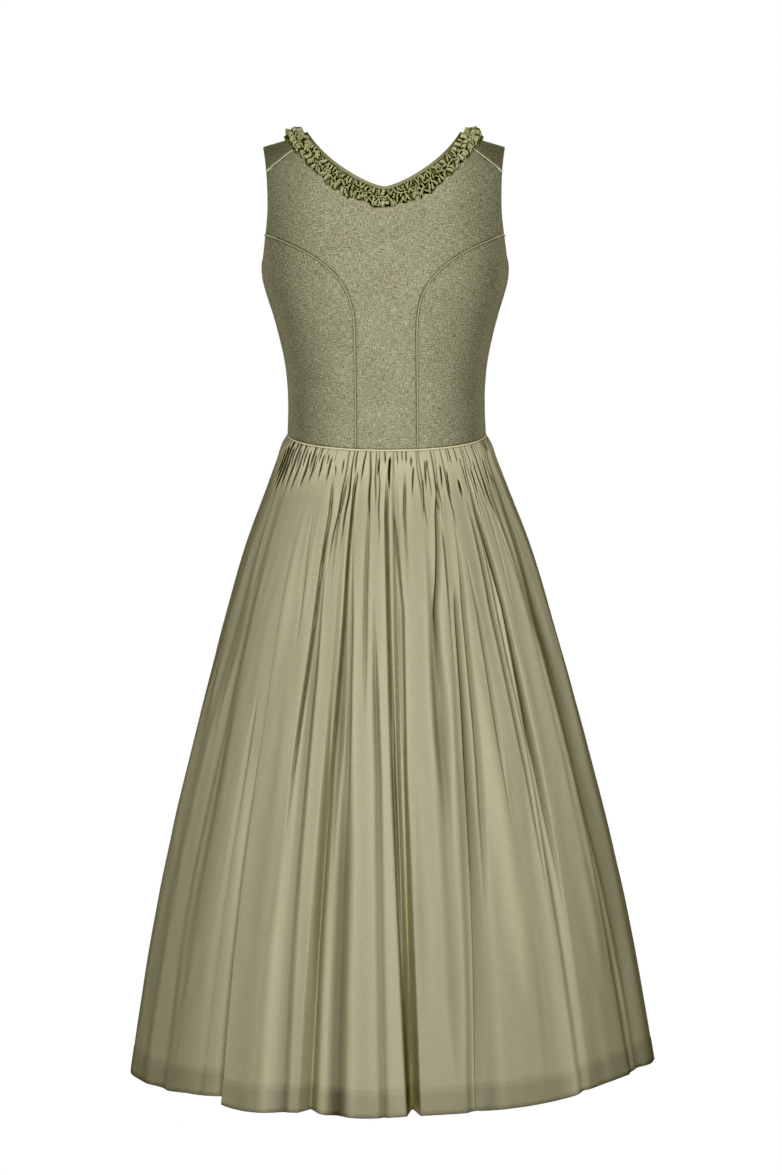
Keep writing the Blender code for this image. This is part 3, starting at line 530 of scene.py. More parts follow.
def armhole(z_from, z_to, sign, side):
    """Armhole edge between two heights; at the underarm it reaches the side seam."""
    z = np.linspace(z_from, z_to, 60)
    line = places_at(sign * armhole_x(z, side), z, side)
    into_seam = ease((UNDERARM + UNDERARM_ROUND - z) / UNDERARM_ROUND)
    line[:, 0] += (sign * math.pi / 2 - line[:, 0]) * into_seam
    return line


def princess(sign, side):
    """Shaping seam from the waist up to the armhole."""
    foot_angle = places_at(princess_x(np.array(-400.0), side), -400.0, side)[0]
    z = np.linspace(waist_height(foot_angle, side), crossing(side), 120)
    return places_at(sign * princess_x(z, side), z, side)


def waist(angle_from, angle_to, side):
    """Waist seam between two angles."""
    angle = np.linspace(angle_from, angle_to, 90)
    return np.stack((angle, side * drops_at(waist_height(angle, side))), axis=1)


def side_seam(sign, side):
    """Side seam from the waist up to the underarm."""
    start = drops_at(waist_height(math.pi / 2, side))
    drop = np.linspace(float(start), float(drops_at(np.array(UNDERARM))), 60)
    return np.stack((np.full(60, sign * math.pi / 2), side * drop), axis=1)


def shoulder_seam(sign):
    """Shoulder seam, behind the ridge, from the armhole to the neckline."""
    t = np.linspace(0.0, 1.0, 40)
    outer_x = armhole_x(np.array(-SHOULDER_SEAM_DROP), 1)
    inner_z = neck_height(SHOULDER_SEAM_NECK, 1)
    return places_at(sign * (outer_x + (SHOULDER_SEAM_NECK - outer_x) * t),
                     -SHOULDER_SEAM_DROP + (inner_z + SHOULDER_SEAM_DROP) * t, 1)


def neck_line(step):
    """The whole edge of the neck, from the centre front round the back to the centre front."""
    line = np.concatenate((neckline(1.0, NECK_HALF, -1), neckline(NECK_HALF, -NECK_HALF, 1)[1:],
                           neckline(-NECK_HALF, -1.0, -1)[1:]))
    return resample(line, step)


# ---- making the meshes
def add_piece(node, kind, points, faces, finish, cloth=None, painted_shade=None, smooth_angle=None):
    """A visible piece from points in millimetres, which stands for a node of the CAD.

    cloth holds each point's place on the weave, and the painted shade how far it darkens each
    point's colour, 0 to 1.
    """
    name = f"{node}_{kind}"
    points = np.asarray(points, float)
    hung = np.stack((points[:, 0] - LEAN * points[:, 2], points[:, 1], points[:, 2]), axis=1) * MM
    mesh = bpy.data.meshes.new(name)
    mesh.from_pydata(hung.tolist(), [], faces)
    if cloth is not None:
        weave = mesh.attributes.new("cloth", "FLOAT_VECTOR", "POINT")
        flat = np.zeros((len(points), 3), np.float32)
        flat[:, :2] = np.asarray(cloth)[:, :2] * MM
        weave.data.foreach_set("vector", flat.ravel())
    if painted_shade is not None:
        depths = mesh.attributes.new("painted_shade", "FLOAT", "POINT")
        depths.data.foreach_set("value", np.clip(painted_shade, 0, 1).astype(np.float32))
    mesh.validate()
    mesh.shade_smooth()
    if smooth_angle:
        mesh.set_sharp_from_angle(angle=math.radians(smooth_angle))
    mesh.materials.append(finish)
    piece = bpy.data.objects.new(name, mesh)
    bpy.context.scene.collection.objects.link(piece)
    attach(piece, "root")
    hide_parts(node)
    return piece


def grid_faces(rows, columns, offset=0, closed=False, flip=False):
    """Quads of a grid whose points are numbered row by row."""
    across = columns if closed else columns - 1
    row, column = np.meshgrid(np.arange(rows - 1), np.arange(across), indexing="ij")
    low = (offset + row * columns + column).ravel()
    beside = (offset + row * columns + (column + 1) % columns).ravel()
    quads = np.stack((low, beside, beside + columns, low + columns), axis=1)
    return (quads[:, ::-1] if flip else quads).tolist()


def layer_faces(rows, columns, row_step, column_step):
    """Faces of a closed layer of cloth: its outer grid, then an inner one that keeps every so many
    of the outer one's rows and columns, and the rim between them."""
    size = rows * columns
    inner_rows, inner_columns = (rows - 1) // row_step + 1, (columns - 1) // column_step + 1
    faces = grid_faces(rows, columns, flip=True) + grid_faces(inner_rows, inner_columns, size)
    for i in range(inner_columns - 1):
        for row, back in ((0, -1), (rows - 1, 1)):
            low = row * columns + i * column_step
            deep = size + row // row_step * inner_columns + i
            edge = tuple(range(low + column_step, low - 1, -1))
            faces.append((edge + (deep, deep + 1))[::back])
    for i in range(inner_rows - 1):
        for column, back in ((0, 1), (columns - 1, -1)):
            low = i * row_step * columns + column
            deep = size + i * inner_columns + column // column_step
            edge = tuple(range(low + row_step * columns, low - 1, -columns))
            faces.append((edge + (deep, deep + inner_columns))[::back])
    return faces


def tube_faces(rings, sides, closed=False):
    """Faces of a tube of rings of points, joined end to end or with its ends filled."""
    faces, last = grid_faces(rings, sides, closed=True), (rings - 1) * sides
    if closed:
        joined = [(last + i, last + (i + 1) % sides, (i + 1) % sides, i) for i in range(sides)]
        return faces + joined
    return faces + [tuple(reversed(range(sides))), tuple(last + i for i in range(sides))]


def tube_points(centres, normals, radius, closed=False):
    """Points of a round cord along a line of points."""
    ahead = np.roll(centres, -1, axis=0)
    behind = np.roll(centres, 1, axis=0)
    if not closed:
        ahead[-1] = centres[-1]
        behind[0] = centres[0]
    tangent = unit(ahead - behind)
    up = unit(normals - tangent * (normals * tangent).sum(axis=1)[:, None])
    turn = np.linspace(0, 2 * math.pi, CORD_SIDES, endpoint=False)[None, :, None]
    ring = up[:, None] * np.cos(turn) + np.cross(tangent, up)[:, None] * np.sin(turn)
    return (centres[:, None] + ring * radius).reshape(-1, 3)


def weave_place(places):
    """Places measured along the cloth, for the weave."""
    sine, cosine = np.abs(np.sin(places[:, 0])), np.abs(np.cos(places[:, 0]))
    bent = np.arctan2(sine ** WEAVE_POWER, cosine ** WEAVE_POWER)
    return np.stack((WEAVE_RADIUS * np.sign(places[:, 0]) * bent, places[:, 1]), axis=1)


def cloth_axes(along, down):
    """Two by two matrices from steps in place to millimetres on the cloth."""
    across = unit(along)
    below = unit(down - across * (down * across).sum(axis=1)[:, None])
    axes = np.zeros((len(along), 2, 2))
    axes[:, 0, 0] = (along * across).sum(axis=1)
    axes[:, 0, 1] = (down * across).sum(axis=1)
    axes[:, 1, 1] = (down * below).sum(axis=1)
    return axes


def beside_line(line, offsets, lifts):
    """Points beside a line of places, each at its own distance on the cloth and height above."""
    _, along, down, _ = form_frames(line)
    axes = cloth_axes(along, down)
    step = unit(np.einsum("nij,nj->ni", axes, np.gradient(line, axis=0)))
    away = np.linalg.solve(axes, np.stack((step[:, 1], -step[:, 0]), axis=1)[..., None])[..., 0]
    places = line[:, None] + away[:, None] * offsets[..., None]
    points, _, _, normals = form_frames(places.reshape(-1, 2))
    return points + normals * lifts.reshape(-1)[:, None]


# ---- cutting the bodice's panels
def inset_outline(line, insets):
    """Move each side of an outline inwards on the cloth by its own distance."""
    flat = line * PATTERN_SCALE
    ahead = np.roll(flat, -1, axis=0)
    sense = np.sign((flat[:, 0] * ahead[:, 1] - ahead[:, 0] * flat[:, 1]).sum())
    _, along, down, _ = form_frames(line)
    axes = cloth_axes(along, down)
    moved = line.copy()
    for i, place in enumerate(line):
        normals = []
        for start, end in ((i - 1, i), (i, (i + 1) % len(line))):
            edge = axes[i] @ (line[end] - line[start])
            edge /= np.linalg.norm(edge)
            normals.append(sense * np.array((-edge[1], edge[0])))
        if normals[0].dot(normals[1]) > CORNER_COSINE:
            shift = (normals[0] + normals[1]) / 2 * max(insets[i - 1], insets[i])
        else:
            shift = np.linalg.solve(np.array(normals), np.array((insets[i - 1], insets[i])))
        moved[i] = place + np.linalg.solve(axes[i], shift)
    return moved


def inside(points, polygon):
    """Which flat points lie in a flat outline."""
    hit = np.zeros(len(points), bool)
    for (x0, y0), (x1, y1) in zip(polygon, np.roll(polygon, -1, axis=0)):
        if y0 == y1:
            continue
        spans = (y0 > points[:, 1]) != (y1 > points[:, 1])
        hit ^= spans & (points[:, 0] < x0 + (points[:, 1] - y0) * (x1 - x0) / (y1 - y0))
    return hit


def edge_distance(points, polygon, chosen=None):
    """Distance from flat points to the chosen sides of a flat outline, or to all of them."""
    best = np.full(len(points), 1e9)
    sides = zip(polygon, np.roll(polygon, -1, axis=0))
    for start, end in (side for i, side in enumerate(sides) if chosen is None or chosen[i]):
        run = end - start
        share = np.clip(((points - start) @ run) / max(run @ run, 1e-9), 0, 1)
        best = np.minimum(best, np.linalg.norm(points - start - share[:, None] * run, axis=1))
    return best


def panel_mesh(line, corners):
    """Flat points and triangles inside an outline: its corners, a row near them, an even field."""
    low, high = corners.min(axis=0), corners.max(axis=0)
    rows = np.arange(low[1], high[1], PANEL_MESH * MESH_ROW_RATIO)
    steps = np.arange(low[0], high[0], PANEL_MESH)
    free = np.array([(x + (i % 2) * PANEL_MESH / 2, y) for i, y in enumerate(rows) for x in steps])
    free = free[inside(free, corners)]
    free = free[edge_distance(free, corners) > 0.45 * PANEL_MESH]
    border = inset_outline(line, np.full(len(line), BORDER_INSET)) * PATTERN_SCALE
    border = border[inside(border, corners)]
    border = border[edge_distance(border, corners) > BORDER_CLEAR]
    free = free[[np.linalg.norm(border - point, axis=1).min() > BORDER_SPACE for point in free]]
    flat = np.concatenate((corners, border, free))
    sides = [(i, (i + 1) % len(line)) for i in range(len(line))]
    found = delaunay_2d_cdt([Vector(point) for point in flat], sides, [], 0, 1e-6, True)
    points, faces = (np.array([tuple(item) for item in found[i]]) for i in (0, 2))
    return points, faces[inside(points[faces].mean(axis=1), corners)]


def close_wall(outer, inner, sheet):
    """Points and faces of a wall of cloth between an outer and an inner sheet."""
    count = len(outer)
    used = {(face[i], face[(i + 1) % len(face)]) for face in sheet for i in range(len(face))}
    faces = [tuple(reversed(face)) for face in sheet]
    faces += [tuple(count + i for i in face) for face in sheet]
    faces += [(a, b, count + b, count + a) for a, b in used if (b, a) not in used]
    return np.concatenate((outer, inner)), faces


def panel(name, edges, finish):
    """A cut panel of the bodice and its flat span. Each edge is a line of places and its inset."""
    line = np.concatenate([part[:-1] for part, _ in edges])
    insets = np.concatenate([np.full(len(part) - 1, distance) for part, distance in edges])
    line = inset_outline(line, insets)
    corners = line * PATTERN_SCALE
    flat, triangles = panel_mesh(line, corners)
    places = flat / PATTERN_SCALE
    points, _, _, normals = form_frames(places)
    roll = EDGE_ROLL * np.clip(1 - edge_distance(flat, corners) / EDGE_ROLL_WIDTH, 0, 1) ** 2
    outer = points - normals * roll[:, None]
    inner = points - normals * (PANEL_WALL + EDGE_ROLL * 0.3)
    points, faces = close_wall(outer, inner, [tuple(int(i) for i in face) for face in triangles])
    weave = weave_place(places)
    turned = np.abs(places[:, 0])
    # Painted shade: darker towards the sides, and beside the piped seams.
    towards_side = SIDE_SHADE * ease((turned - SIDE_SHADE_FROM) / SIDE_SHADE_RUN)
    towards_side *= 1 - ease((turned - SIDE_SHADE_FADE) / SIDE_SHADE_FADE_RUN)
    to_piping = edge_distance(flat, corners, insets >= PIPED_INSET)
    at_piping = np.clip(1 - to_piping / PIPING_SHADE_WIDTH, 0, 1)
    painted_shade = np.concatenate((PIPING_SHADE * at_piping + towards_side, np.zeros(len(flat))))
    piece = add_piece(name, "cloth", points, faces, finish,
                      np.concatenate((weave, weave)), painted_shade, SHARP_EDGE)
    return piece, weave.max(axis=0) - weave.min(axis=0)


def seam_cord(name, line, finish, clear_start=CORD_END_GAP):
    """The cord of a piped seam of the bodice."""
    length = line_lengths(line)[-1]
    count = int((length - clear_start - CORD_END_GAP) / CORD_STEP)
    places = places_along(line, clear_start, length - CORD_END_GAP, count)
    points, _, _, normals = form_frames(places)
    points = tube_points(points - normals * CORD_SINK, normals, CORD_RADIUS)
    return add_piece(name, "cord", points, tube_faces(count, CORD_SIDES), finish)


def waist_cord(finish):
    """The piping cord of the waist seam."""
    turn = np.linspace(0, 2 * math.pi, WAIST_CORD_STEPS, endpoint=False)
    side = np.where(np.cos(turn) >= 0, 1, -1)
    angle = np.arcsin(np.sin(turn))
    places = np.stack((angle, side * drops_at(waist_height(angle, side))), axis=1)
    points, _, _, normals = form_frames(places)
    points = tube_points(points - normals * CORD_SINK, normals, WAIST_CORD_RADIUS, closed=True)
    faces = tube_faces(WAIST_CORD_STEPS, CORD_SIDES, closed=True)
    return add_piece("piping_waist", "cord", points, faces, finish)


def underlap(finish):
    """The strip behind the edges of the front."""
    half = UNDERLAP_WIDTH / 2
    bottom = waist_height(0.0, -1) + PIPED_INSET
    heights = np.linspace(bottom, neck_height(half, -1) - UNDERLAP_TOP_GAP, 90)
    x, z = np.meshgrid(np.linspace(-half, half, 13), heights)
    places = places_at(x.ravel(), z.ravel(), -1)
    points, _, _, normals = form_frames(places)
    outer = points - normals * UNDERLAP_DEPTH
    inner = outer - normals * UNDERLAP_WALL
    weave = weave_place(places)
    points, faces = close_wall(outer, inner, [tuple(face) for face in grid_faces(*x.shape)])
    strip = add_piece("front_underlap", "cloth", points, faces, finish,
                      np.concatenate((weave, weave)), smooth_angle=SHARP_EDGE)
    return strip


def bodice(linen, turned, shaded_back_piping, piping):
    """Back, sides and fronts, with the piped seams of the back.

    The fronts have a darker copy of the linen: painted shade where they turn over the shoulder
    away from the light.
    """
    lines = {}
    for sign in (-1, 1):
        for side in (1, -1):
            lines["princess", side, sign] = resample(princess(sign, side))
            lines["side", side, sign] = resample(side_seam(sign, side))
            lines["under", side, sign] = resample(armhole(crossing(side), UNDERARM, sign, side))
        lines["upper", sign] = resample(armhole(crossing(1), -SHOULDER_SEAM_DROP, sign, 1))
        lines["shoulder", sign] = resample(shoulder_seam(sign))
    foot = lines["princess", 1, 1][0][0]
    pieces = [panel("back_center", [
        (resample(waist(-foot, foot, 1)), WAIST_INSET),
        (lines["princess", 1, 1], PIPED_INSET),
        (lines["upper", 1], 0.0),
        (lines["shoulder", 1], PIPED_INSET),
        (resample(neckline(SHOULDER_SEAM_NECK, -SHOULDER_SEAM_NECK, 1)), 0.0),
        (lines["shoulder", -1][::-1], PIPED_INSET),
        (lines["upper", -1][::-1], 0.0),
        (lines["princess", 1, -1][::-1], PIPED_INSET),
    ], linen)]
    for sign, hand in ((-1, "left"), (1, "right")):
        for side, part, inset in ((1, "back", PIPED_INSET), (-1, "front", PLAIN_INSET)):
            seam_line = lines["princess", side, sign]
            pieces.append(panel(f"{part}_side_{hand}", [
                (resample(waist(seam_line[0][0], sign * math.pi / 2, side)), WAIST_INSET),
                (lines["side", side, sign], PLAIN_INSET),
                (lines["under", side, sign][::-1], 0.0),
                (seam_line[::-1], inset),
            ], linen))
        strap_outer = np.concatenate((armhole(-SHOULDER_SEAM_DROP, -5.0, sign, 1),
                                      armhole(-5.0, crossing(-1), sign, -1)[1:]))
        neck_edge = np.concatenate((neckline(0.5 * sign, sign * NECK_HALF, -1),
                                    neckline(sign * NECK_HALF, sign * SHOULDER_SEAM_NECK, 1)[1:]))
        drops = np.linspace(float(drops_at(waist_height(0.0, -1))), -neck_edge[0][1], 40)
        centre = np.stack((np.full(40, neck_edge[0][0]), -drops), axis=1)
        front_seam = lines["princess", -1, sign]
        pieces.append(panel(f"front_center_{hand}", [
            (resample(waist(front_seam[0][0], centre[0][0], -1)), WAIST_INSET),
            (resample(centre), 0.0),
            (resample(neck_edge), 0.0),
            (lines["shoulder", sign][::-1], PIPED_INSET),
            (resample(strap_outer), 0.0),
            (front_seam[::-1], PLAIN_INSET),
        ], turned))
        seam_cord(f"piping_back_{hand}", princess(sign, 1), shaded_back_piping, PIPED_INSET + CORD_RADIUS)
        seam_cord(f"piping_shoulder_{hand}", shoulder_seam(sign), piping)


# ---- the skirt
def around(angle):
    """Angles in degrees brought between -180 and 180."""
    return (angle + 180.0) % 360.0 - 180.0


def angle_at(rows, levels, shares):
    """Angles of a table's lines at shares of the way down: one row a share, one column a line.

    The first columns of the table are the angles at its levels.
    """
    angles = np.stack(list(rows.values())[:len(levels)])
    return np.stack([np.interp(shares, levels, line) for line in angles.T], axis=1)


def skirt_base(angles, shares):
    """Outer face of the skirt as in the CAD: plan, height, two directions and cloth angles.

    The directions point outwards and sideways.
    """
    front = (-180.0, 180.0)
    folds = np.pad(angle_at(FOLDS, LEVELS, shares), ((0, 0), (1, 1)), constant_values=front)
    hems = np.pad(FOLDS["hem"], 1, constant_values=front)
    place = np.array([np.interp(angles, hems, row) for row in folds])
    turn = np.radians(place)
    half_width = smooth(SKIRT, "half_width", shares)[:, None]
    depth = half_width * smooth(SKIRT, "depth_ratio", shares)[:, None]
    power = (2.0 / smooth(SKIRT, "roundness", shares))[:, None]
    sine, cosine = np.sin(turn), np.cos(turn)
    plan = np.stack((half_width * signed_power(sine, power),
                     -depth * signed_power(cosine, power)), axis=-1)
    outwards = unit(np.stack((sine / half_width, -cosine / depth), axis=-1))
    sideways = np.stack((-outwards[..., 1], outwards[..., 0]), axis=-1)
    sink, slide = np.zeros_like(place), np.zeros_like(place)
    for *_, at_hem, upper, middle, lower, low, high, shift in zip(*FOLDS.values()):
        distance = np.radians(around(angles - at_hem)) * SKIRT["half_width"][-1]
        reach = np.where(distance > 0, high, low)
        wave = 0.5 + 0.5 * np.cos(math.pi * distance / reach)
        wave = np.where(np.abs(distance) < reach, wave, 0.0)
        sink += np.interp(shares, LEVELS, (0.0, upper, middle, lower))[:, None] * wave
        slide += (shift * shares)[:, None] * wave
    plan = plan - outwards * sink[..., None] + sideways * slide[..., None]
    top = waist_height(np.arcsin(sine), np.where(cosine >= 0, 1, -1)) - SKIRT_TOP_GAP
    hem = HEM_HEIGHT + smooth(HEM, "lift", angles)
    return plan, top + (hem - top) * shares[:, None], outwards, sideways, place


def trough(distance, low, high, sharp):
    """A valley in the cloth: 1 at its bottom, 0 beyond its reach to either side."""
    inwards = np.clip(1 - np.abs(distance) / np.where(distance > 0, high, low), 0.0, 1.0)
    return sharp * inwards ** SLIT_POWER + (1 - sharp) * ease(inwards)


def drawn(rng, ranges):
    """A random number from each range."""
    return [rng.uniform(*limits) for limits in ranges]


def gathers(seed):
    """The gathers of the waist: the listed slits, and fine ones unevenly between them.

    Each has its angle at the waist, slant, top, foot, depth, reach and the darkness of its painted
    shade. On the left of the back the fine ones fan out towards the side, and elsewhere they hang
    nearly straight.
    """
    rows = []
    for top, foot, start, stop, depth in zip(*SLITS.values()):
        slant = (foot - top) / (stop - start)
        rows.append((top - slant * start, slant, start, stop, depth, SLIT_REACH * depth,
                     SLIT_SHADE * depth / DARKEST_DEPTH))
    slits = [row[0] + row[1] * CLEAR_SHARE for row in rows]
    rng = random.Random(seed)
    angle = -180.0
    while angle < 180.0:
        pitch = rng.uniform(*GATHER_PITCH)
        angle += pitch
        fan = GATHER_FAN * (1 - ease((angle + 38.0) / 34.0)) * ease((100.0 + angle) / 20.0)
        slant = fan + rng.uniform(-GATHER_WANDER, GATHER_WANDER)
        kind = rng.random()
        top, (foot, depth) = 0.0, drawn(rng, USUAL_GATHER)
        if kind < 0.25:
            foot, depth = drawn(rng, SHORT_GATHER)
        elif kind < 0.4:
            top, foot = drawn(rng, LOW_GATHER)
        elif kind > 0.85 and abs(angle) > 90.0:
            foot, depth = drawn(rng, LONG_FRONT_GATHER)
        elif kind > 0.5 and -30.0 < angle < 62.0:
            foot, depth = drawn(rng, LONG_BACK_GATHER)
        reach = pitch * rng.uniform(*GATHER_REACH)
        if min(abs(angle + slant * CLEAR_SHARE - slit) for slit in slits) > CLEAR_ANGLE:
            dark = min(GATHER_SHADE * depth / DARKEST_DEPTH, 1.0)
            rows.append((angle, slant, top, foot, depth, reach, dark))
    return rows


def skirt_relief(place, shares, fine):
    """What the creases add to the large folds: height, slide sideways and the painted shade inside
    them.
    """
    share = shares[:, None]
    sink, slide, shadow, soft_shade, gathered = (np.zeros_like(place) for _ in range(5))
    softer = 1 - 0.4 * ease((share - 0.35) / 0.4)
    lines = angle_at(CREASES, CREASE_LEVELS, shares)
    for line, crease in zip(lines.T, zip(*CREASES.values())):
        start, stop, depth, low, high, sharp, shift = crease[len(CREASE_LEVELS):]
        here = ease((share - start) / (0.05 + 0.25 * (1 - sharp))) * ease((stop - share) / 0.2)
        narrow = 0.35 + 0.65 * here
        shape = here * trough(around(place - line[:, None]), low * narrow, high * narrow, sharp)
        sink += depth * shape * softer
        slide += shift * shape
        # Painted shade in the crease: even over soft ones, with a darker core in sharp ones.
        soft_shade += SOFT_SHADE * (1 - sharp) * depth * shape
        strength = SHARP_SHADE * sharp * depth / DARKEST_DEPTH * softer ** 3
        shadow = np.maximum(shadow, strength * shape ** 1.6)
    for angle, slant, top, foot, full_depth, reach, dark in fine:
        cosine = math.cos(math.radians(angle))
        depth = full_depth * (0.25 + 0.75 * cosine ** 2)
        rows = int(np.searchsorted(shares, foot))
        near = share[:rows]
        strength = ease((foot - near) / (0.6 * (foot - top)))
        strength = strength * ease((near - top) / 0.01 + (top == 0))
        wide = 0.6 * reach * (1 + 3 * near) * (0.5 + 0.5 * strength) / max(abs(cosine), 0.4)
        wander = 0.2 * np.sin(near * 90 + angle)
        distance = around(place[:rows] - angle - slant * near - wander)
        shape = trough(distance, wide, wide, 1.0) * strength
        gathered[:rows] = np.maximum(gathered[:rows], depth * shape)
        slide[:rows] += 0.25 * depth * shape
        # Painted shade in the core of the gather or slit.
        shadow[:rows] = np.maximum(shadow[:rows], dark * np.clip(3.0 * shape - 0.5, 0, 1))
    both = np.minimum(np.maximum(sink, 0), gathered)
    sink += gathered - 0.75 * both
    return -sink, slide, shadow + soft_shade


def skirt_ripple(place, shares):
    """The slight unevenness of cotton satin that hangs free."""
    share = shares[:, None]
    turn = np.radians(place)
    wave = (np.sin(turn * 41 + 5 * np.sin(share * 9 + 2 * turn))
            * np.sin(share * 21 + 3 * np.sin(turn * 13)))
    wave += 0.6 * np.sin(turn * 67 - 7 * share + 2 * np.sin(share * 17 + turn * 5))
    return RIPPLE_HEIGHT * wave * ease((share - 0.04) / 0.2)


def spaced(values, weights, count):
    """So many of the values, closest together where the weights are largest."""
    run = running_total(weights)
    return np.interp(np.linspace(0, run[-1], count), run, values)


def skirt_shares(rows):
    """Shares of the way down for the mesh's rows, closest at the waist and at the stitching."""
    even = np.linspace(0.0, 1.0, 4001)
    density = 1.0 + 3.2 * np.exp(-even / 0.07) + 2.5 * np.exp(-((even - STITCH_SHARE) / 0.012) ** 2)
    return spaced(even, (density[1:] + density[:-1]) / 2, rows)


def skirt_angles(start, end, columns):
    """Angles for the mesh's columns, evenly spaced along the cloth of waist and hem together."""
    even = np.linspace(start, end, 3001)
    plan, _, _, _, _ = skirt_base(even, np.array((0.05, 1.0)))
    lengths = np.linalg.norm(np.diff(plan, axis=1), axis=-1)
    return spaced(even, lengths[0] / lengths[0].sum() + lengths[1] / lengths[1].sum(), columns)


def stacked(outer, inner):
    """Values over an outer grid and then over an inner one, as one list."""
    return np.concatenate([grid.reshape(-1, *grid.shape[2:]) for grid in (outer, inner)])


def skirt_width(name, start, end, size, finish, fine):
    """One width of the skirt between two seams, with a plainer inner face."""
    rows, columns = size
    shares = skirt_shares(rows)
    share = shares[:, None]
    plan, z, outwards, sideways, place = skirt_base(skirt_angles(start, end, columns), shares)
    relief, slide, painted_shade = skirt_relief(place, shares, fine)
    # Painted highlight on the crests: the even painted shade is less where the cloth stands above
    # its neighbours.
    crest = np.clip((relief - spread(relief, 2, 14)) / CREST_HEIGHT, 0, 1)
    crest = crest * (1 - 0.7 * ease(share / 0.14))
    painted_shade += EVEN_SHADE * (1 - crest) * (0.25 + 0.75 * ease(share / 0.09))
    relief += skirt_ripple(place, shares)
    from_hem = (1 - share) * (WAIST_SIDE - HEM_HEIGHT)
    # Painted shade in a band just above the hem.
    painted_shade += HEM_SHADE * ease((HEM_TURN + 9.0 - from_hem) / 14.0)
    relief -= STITCH_DEPTH * np.exp(-((from_hem - HEM_TURN) / STITCH_WIDTH) ** 2)
    relief += np.where(from_hem < HEM_TURN, HEM_TURN_RISE, 0.0)
    base = np.stack((plan[..., 0], plan[..., 1], z), axis=-1)
    ends = np.linalg.norm(np.stack((base - base[:, :1], base - base[:, -1:])), axis=-1).min(axis=0)
    relief -= SEAM_DIP * np.clip(1 - ends / SEAM_DIP_WIDTH, 0, 1) ** 2
    puff = WAIST_PUFF * np.exp(-((share - WAIST_PUFF_SHARE) / WAIST_PUFF_WIDTH) ** 2)
    relief = relief * (0.35 + 0.65 * ease(share / WAIST_PUFF_SHARE)) + puff
    slide *= ease(ends / SEAM_CALM)

    def face(height, step):
        """The cloth at a height over its base, with every so many rows and columns."""
        points = base.copy()
        points[..., :2] += outwards * height[..., None] + sideways * slide[..., None]
        for column, beside in ((0, 1), (-1, -2)):
            points[:, column] += unit(points[:, beside] - points[:, column]) * SKIRT_INSET
        return points[::step, ::step]

    deepest = relief.copy()
    for shift in (-2, -1, 1, 2):
        deepest = np.minimum(deepest, np.roll(relief, shift, axis=1))
    outer = face(relief, 1)
    inner = face(deepest - SKIRT_WALL, 2)
    across = running_total(np.linalg.norm(np.diff(outer, axis=1), axis=-1).mean(axis=0))
    across += WEAVE_SHIFT * math.sin(start)
    weave = np.stack(np.broadcast_arrays(across, share * SKIRT_LENGTH), axis=-1)
    return add_piece(name, "cloth", stacked(outer, inner), layer_faces(rows, columns, 2, 2),
                     finish, stacked(weave, weave[::2, ::2]),
                     stacked(painted_shade, np.zeros(inner.shape[:2])))


# ---- round the neck
def neck_binding(finish):
    """The narrow folded band at the edge of the neck."""
    line = neck_line(BINDING_STEP)
    turn = np.linspace(0, 2 * math.pi, BINDING_SIDES, endpoint=False)
    across = BINDING_WIDTH / 2 + 0.2 + (BINDING_WIDTH / 2 - 0.1) * signed_power(np.cos(turn), 0.55)
    lift = TRIM_LIFT + 0.7 + BINDING_THICK / 2 * signed_power(np.sin(turn), 0.7)
    points = beside_line(line, np.tile(across, (len(line), 1)), np.tile(lift, (len(line), 1)))
    faces = tube_faces(len(line), BINDING_SIDES)
    band = add_piece("neck_binding", "band", points, faces, finish)
    length = line_lengths(line)[-1] * MM
    return band


def ruche_petals(length, seed):
    """The folds of the ruching, in three rows: place along and across, half length and half width,
    lean, height, crest and tilt of each."""
    rng = random.Random(seed)
    rows = []
    for across, wander, pitch, long, wide, lean, height in RUCHE_FOLDS:
        along = rng.uniform(0.0, pitch)
        while along < length:
            rows.append((along, across + rng.uniform(-wander, wander),
                         long * rng.uniform(0.75, 1.25), wide * rng.uniform(0.8, 1.25),
                         rng.uniform(-lean, lean), height * rng.uniform(0.75, 1.2),
                         rng.choice((-0.7, -0.4, 0.6, 0.75)), rng.uniform(-0.25, 0.25)))
            crowded = 0.02 * across * math.exp(-((along - length / 2) / 14.0) ** 2)
            along += pitch * rng.uniform(0.75, 1.3) * (1 - crowded)
    return rows


def ruche_height(run, s, v, petals):
    """Height of the ruching: leaning folds over each other, with sharp crests and steep sides."""
    height = np.full(s.shape, RUCHE_FLOOR)
    for along, across, long, wide, lean, high, crest, tilt in petals:
        near = slice(*np.searchsorted(run, (along - RUCHE_REACH, along + RUCHE_REACH)))
        x, y = s[near] - along, v[near] - across
        angle = math.radians(lean)
        beside = (x * math.cos(angle) + y * math.sin(angle)) / wide
        down = (y * math.cos(angle) - x * math.sin(angle)) / long
        beside = beside + 0.35 * np.sin(2.2 * down + along)
        rise = np.minimum((beside + 1) / (crest + 1), (1 - beside) / (1 - crest))
        rise = np.clip(rise, 0, 1) ** 0.8
        shape = high * rise * np.clip(1 - down ** 4, 0, 1) * (1 + tilt * down)
        height[near] = np.maximum(height[near], shape)
    return height


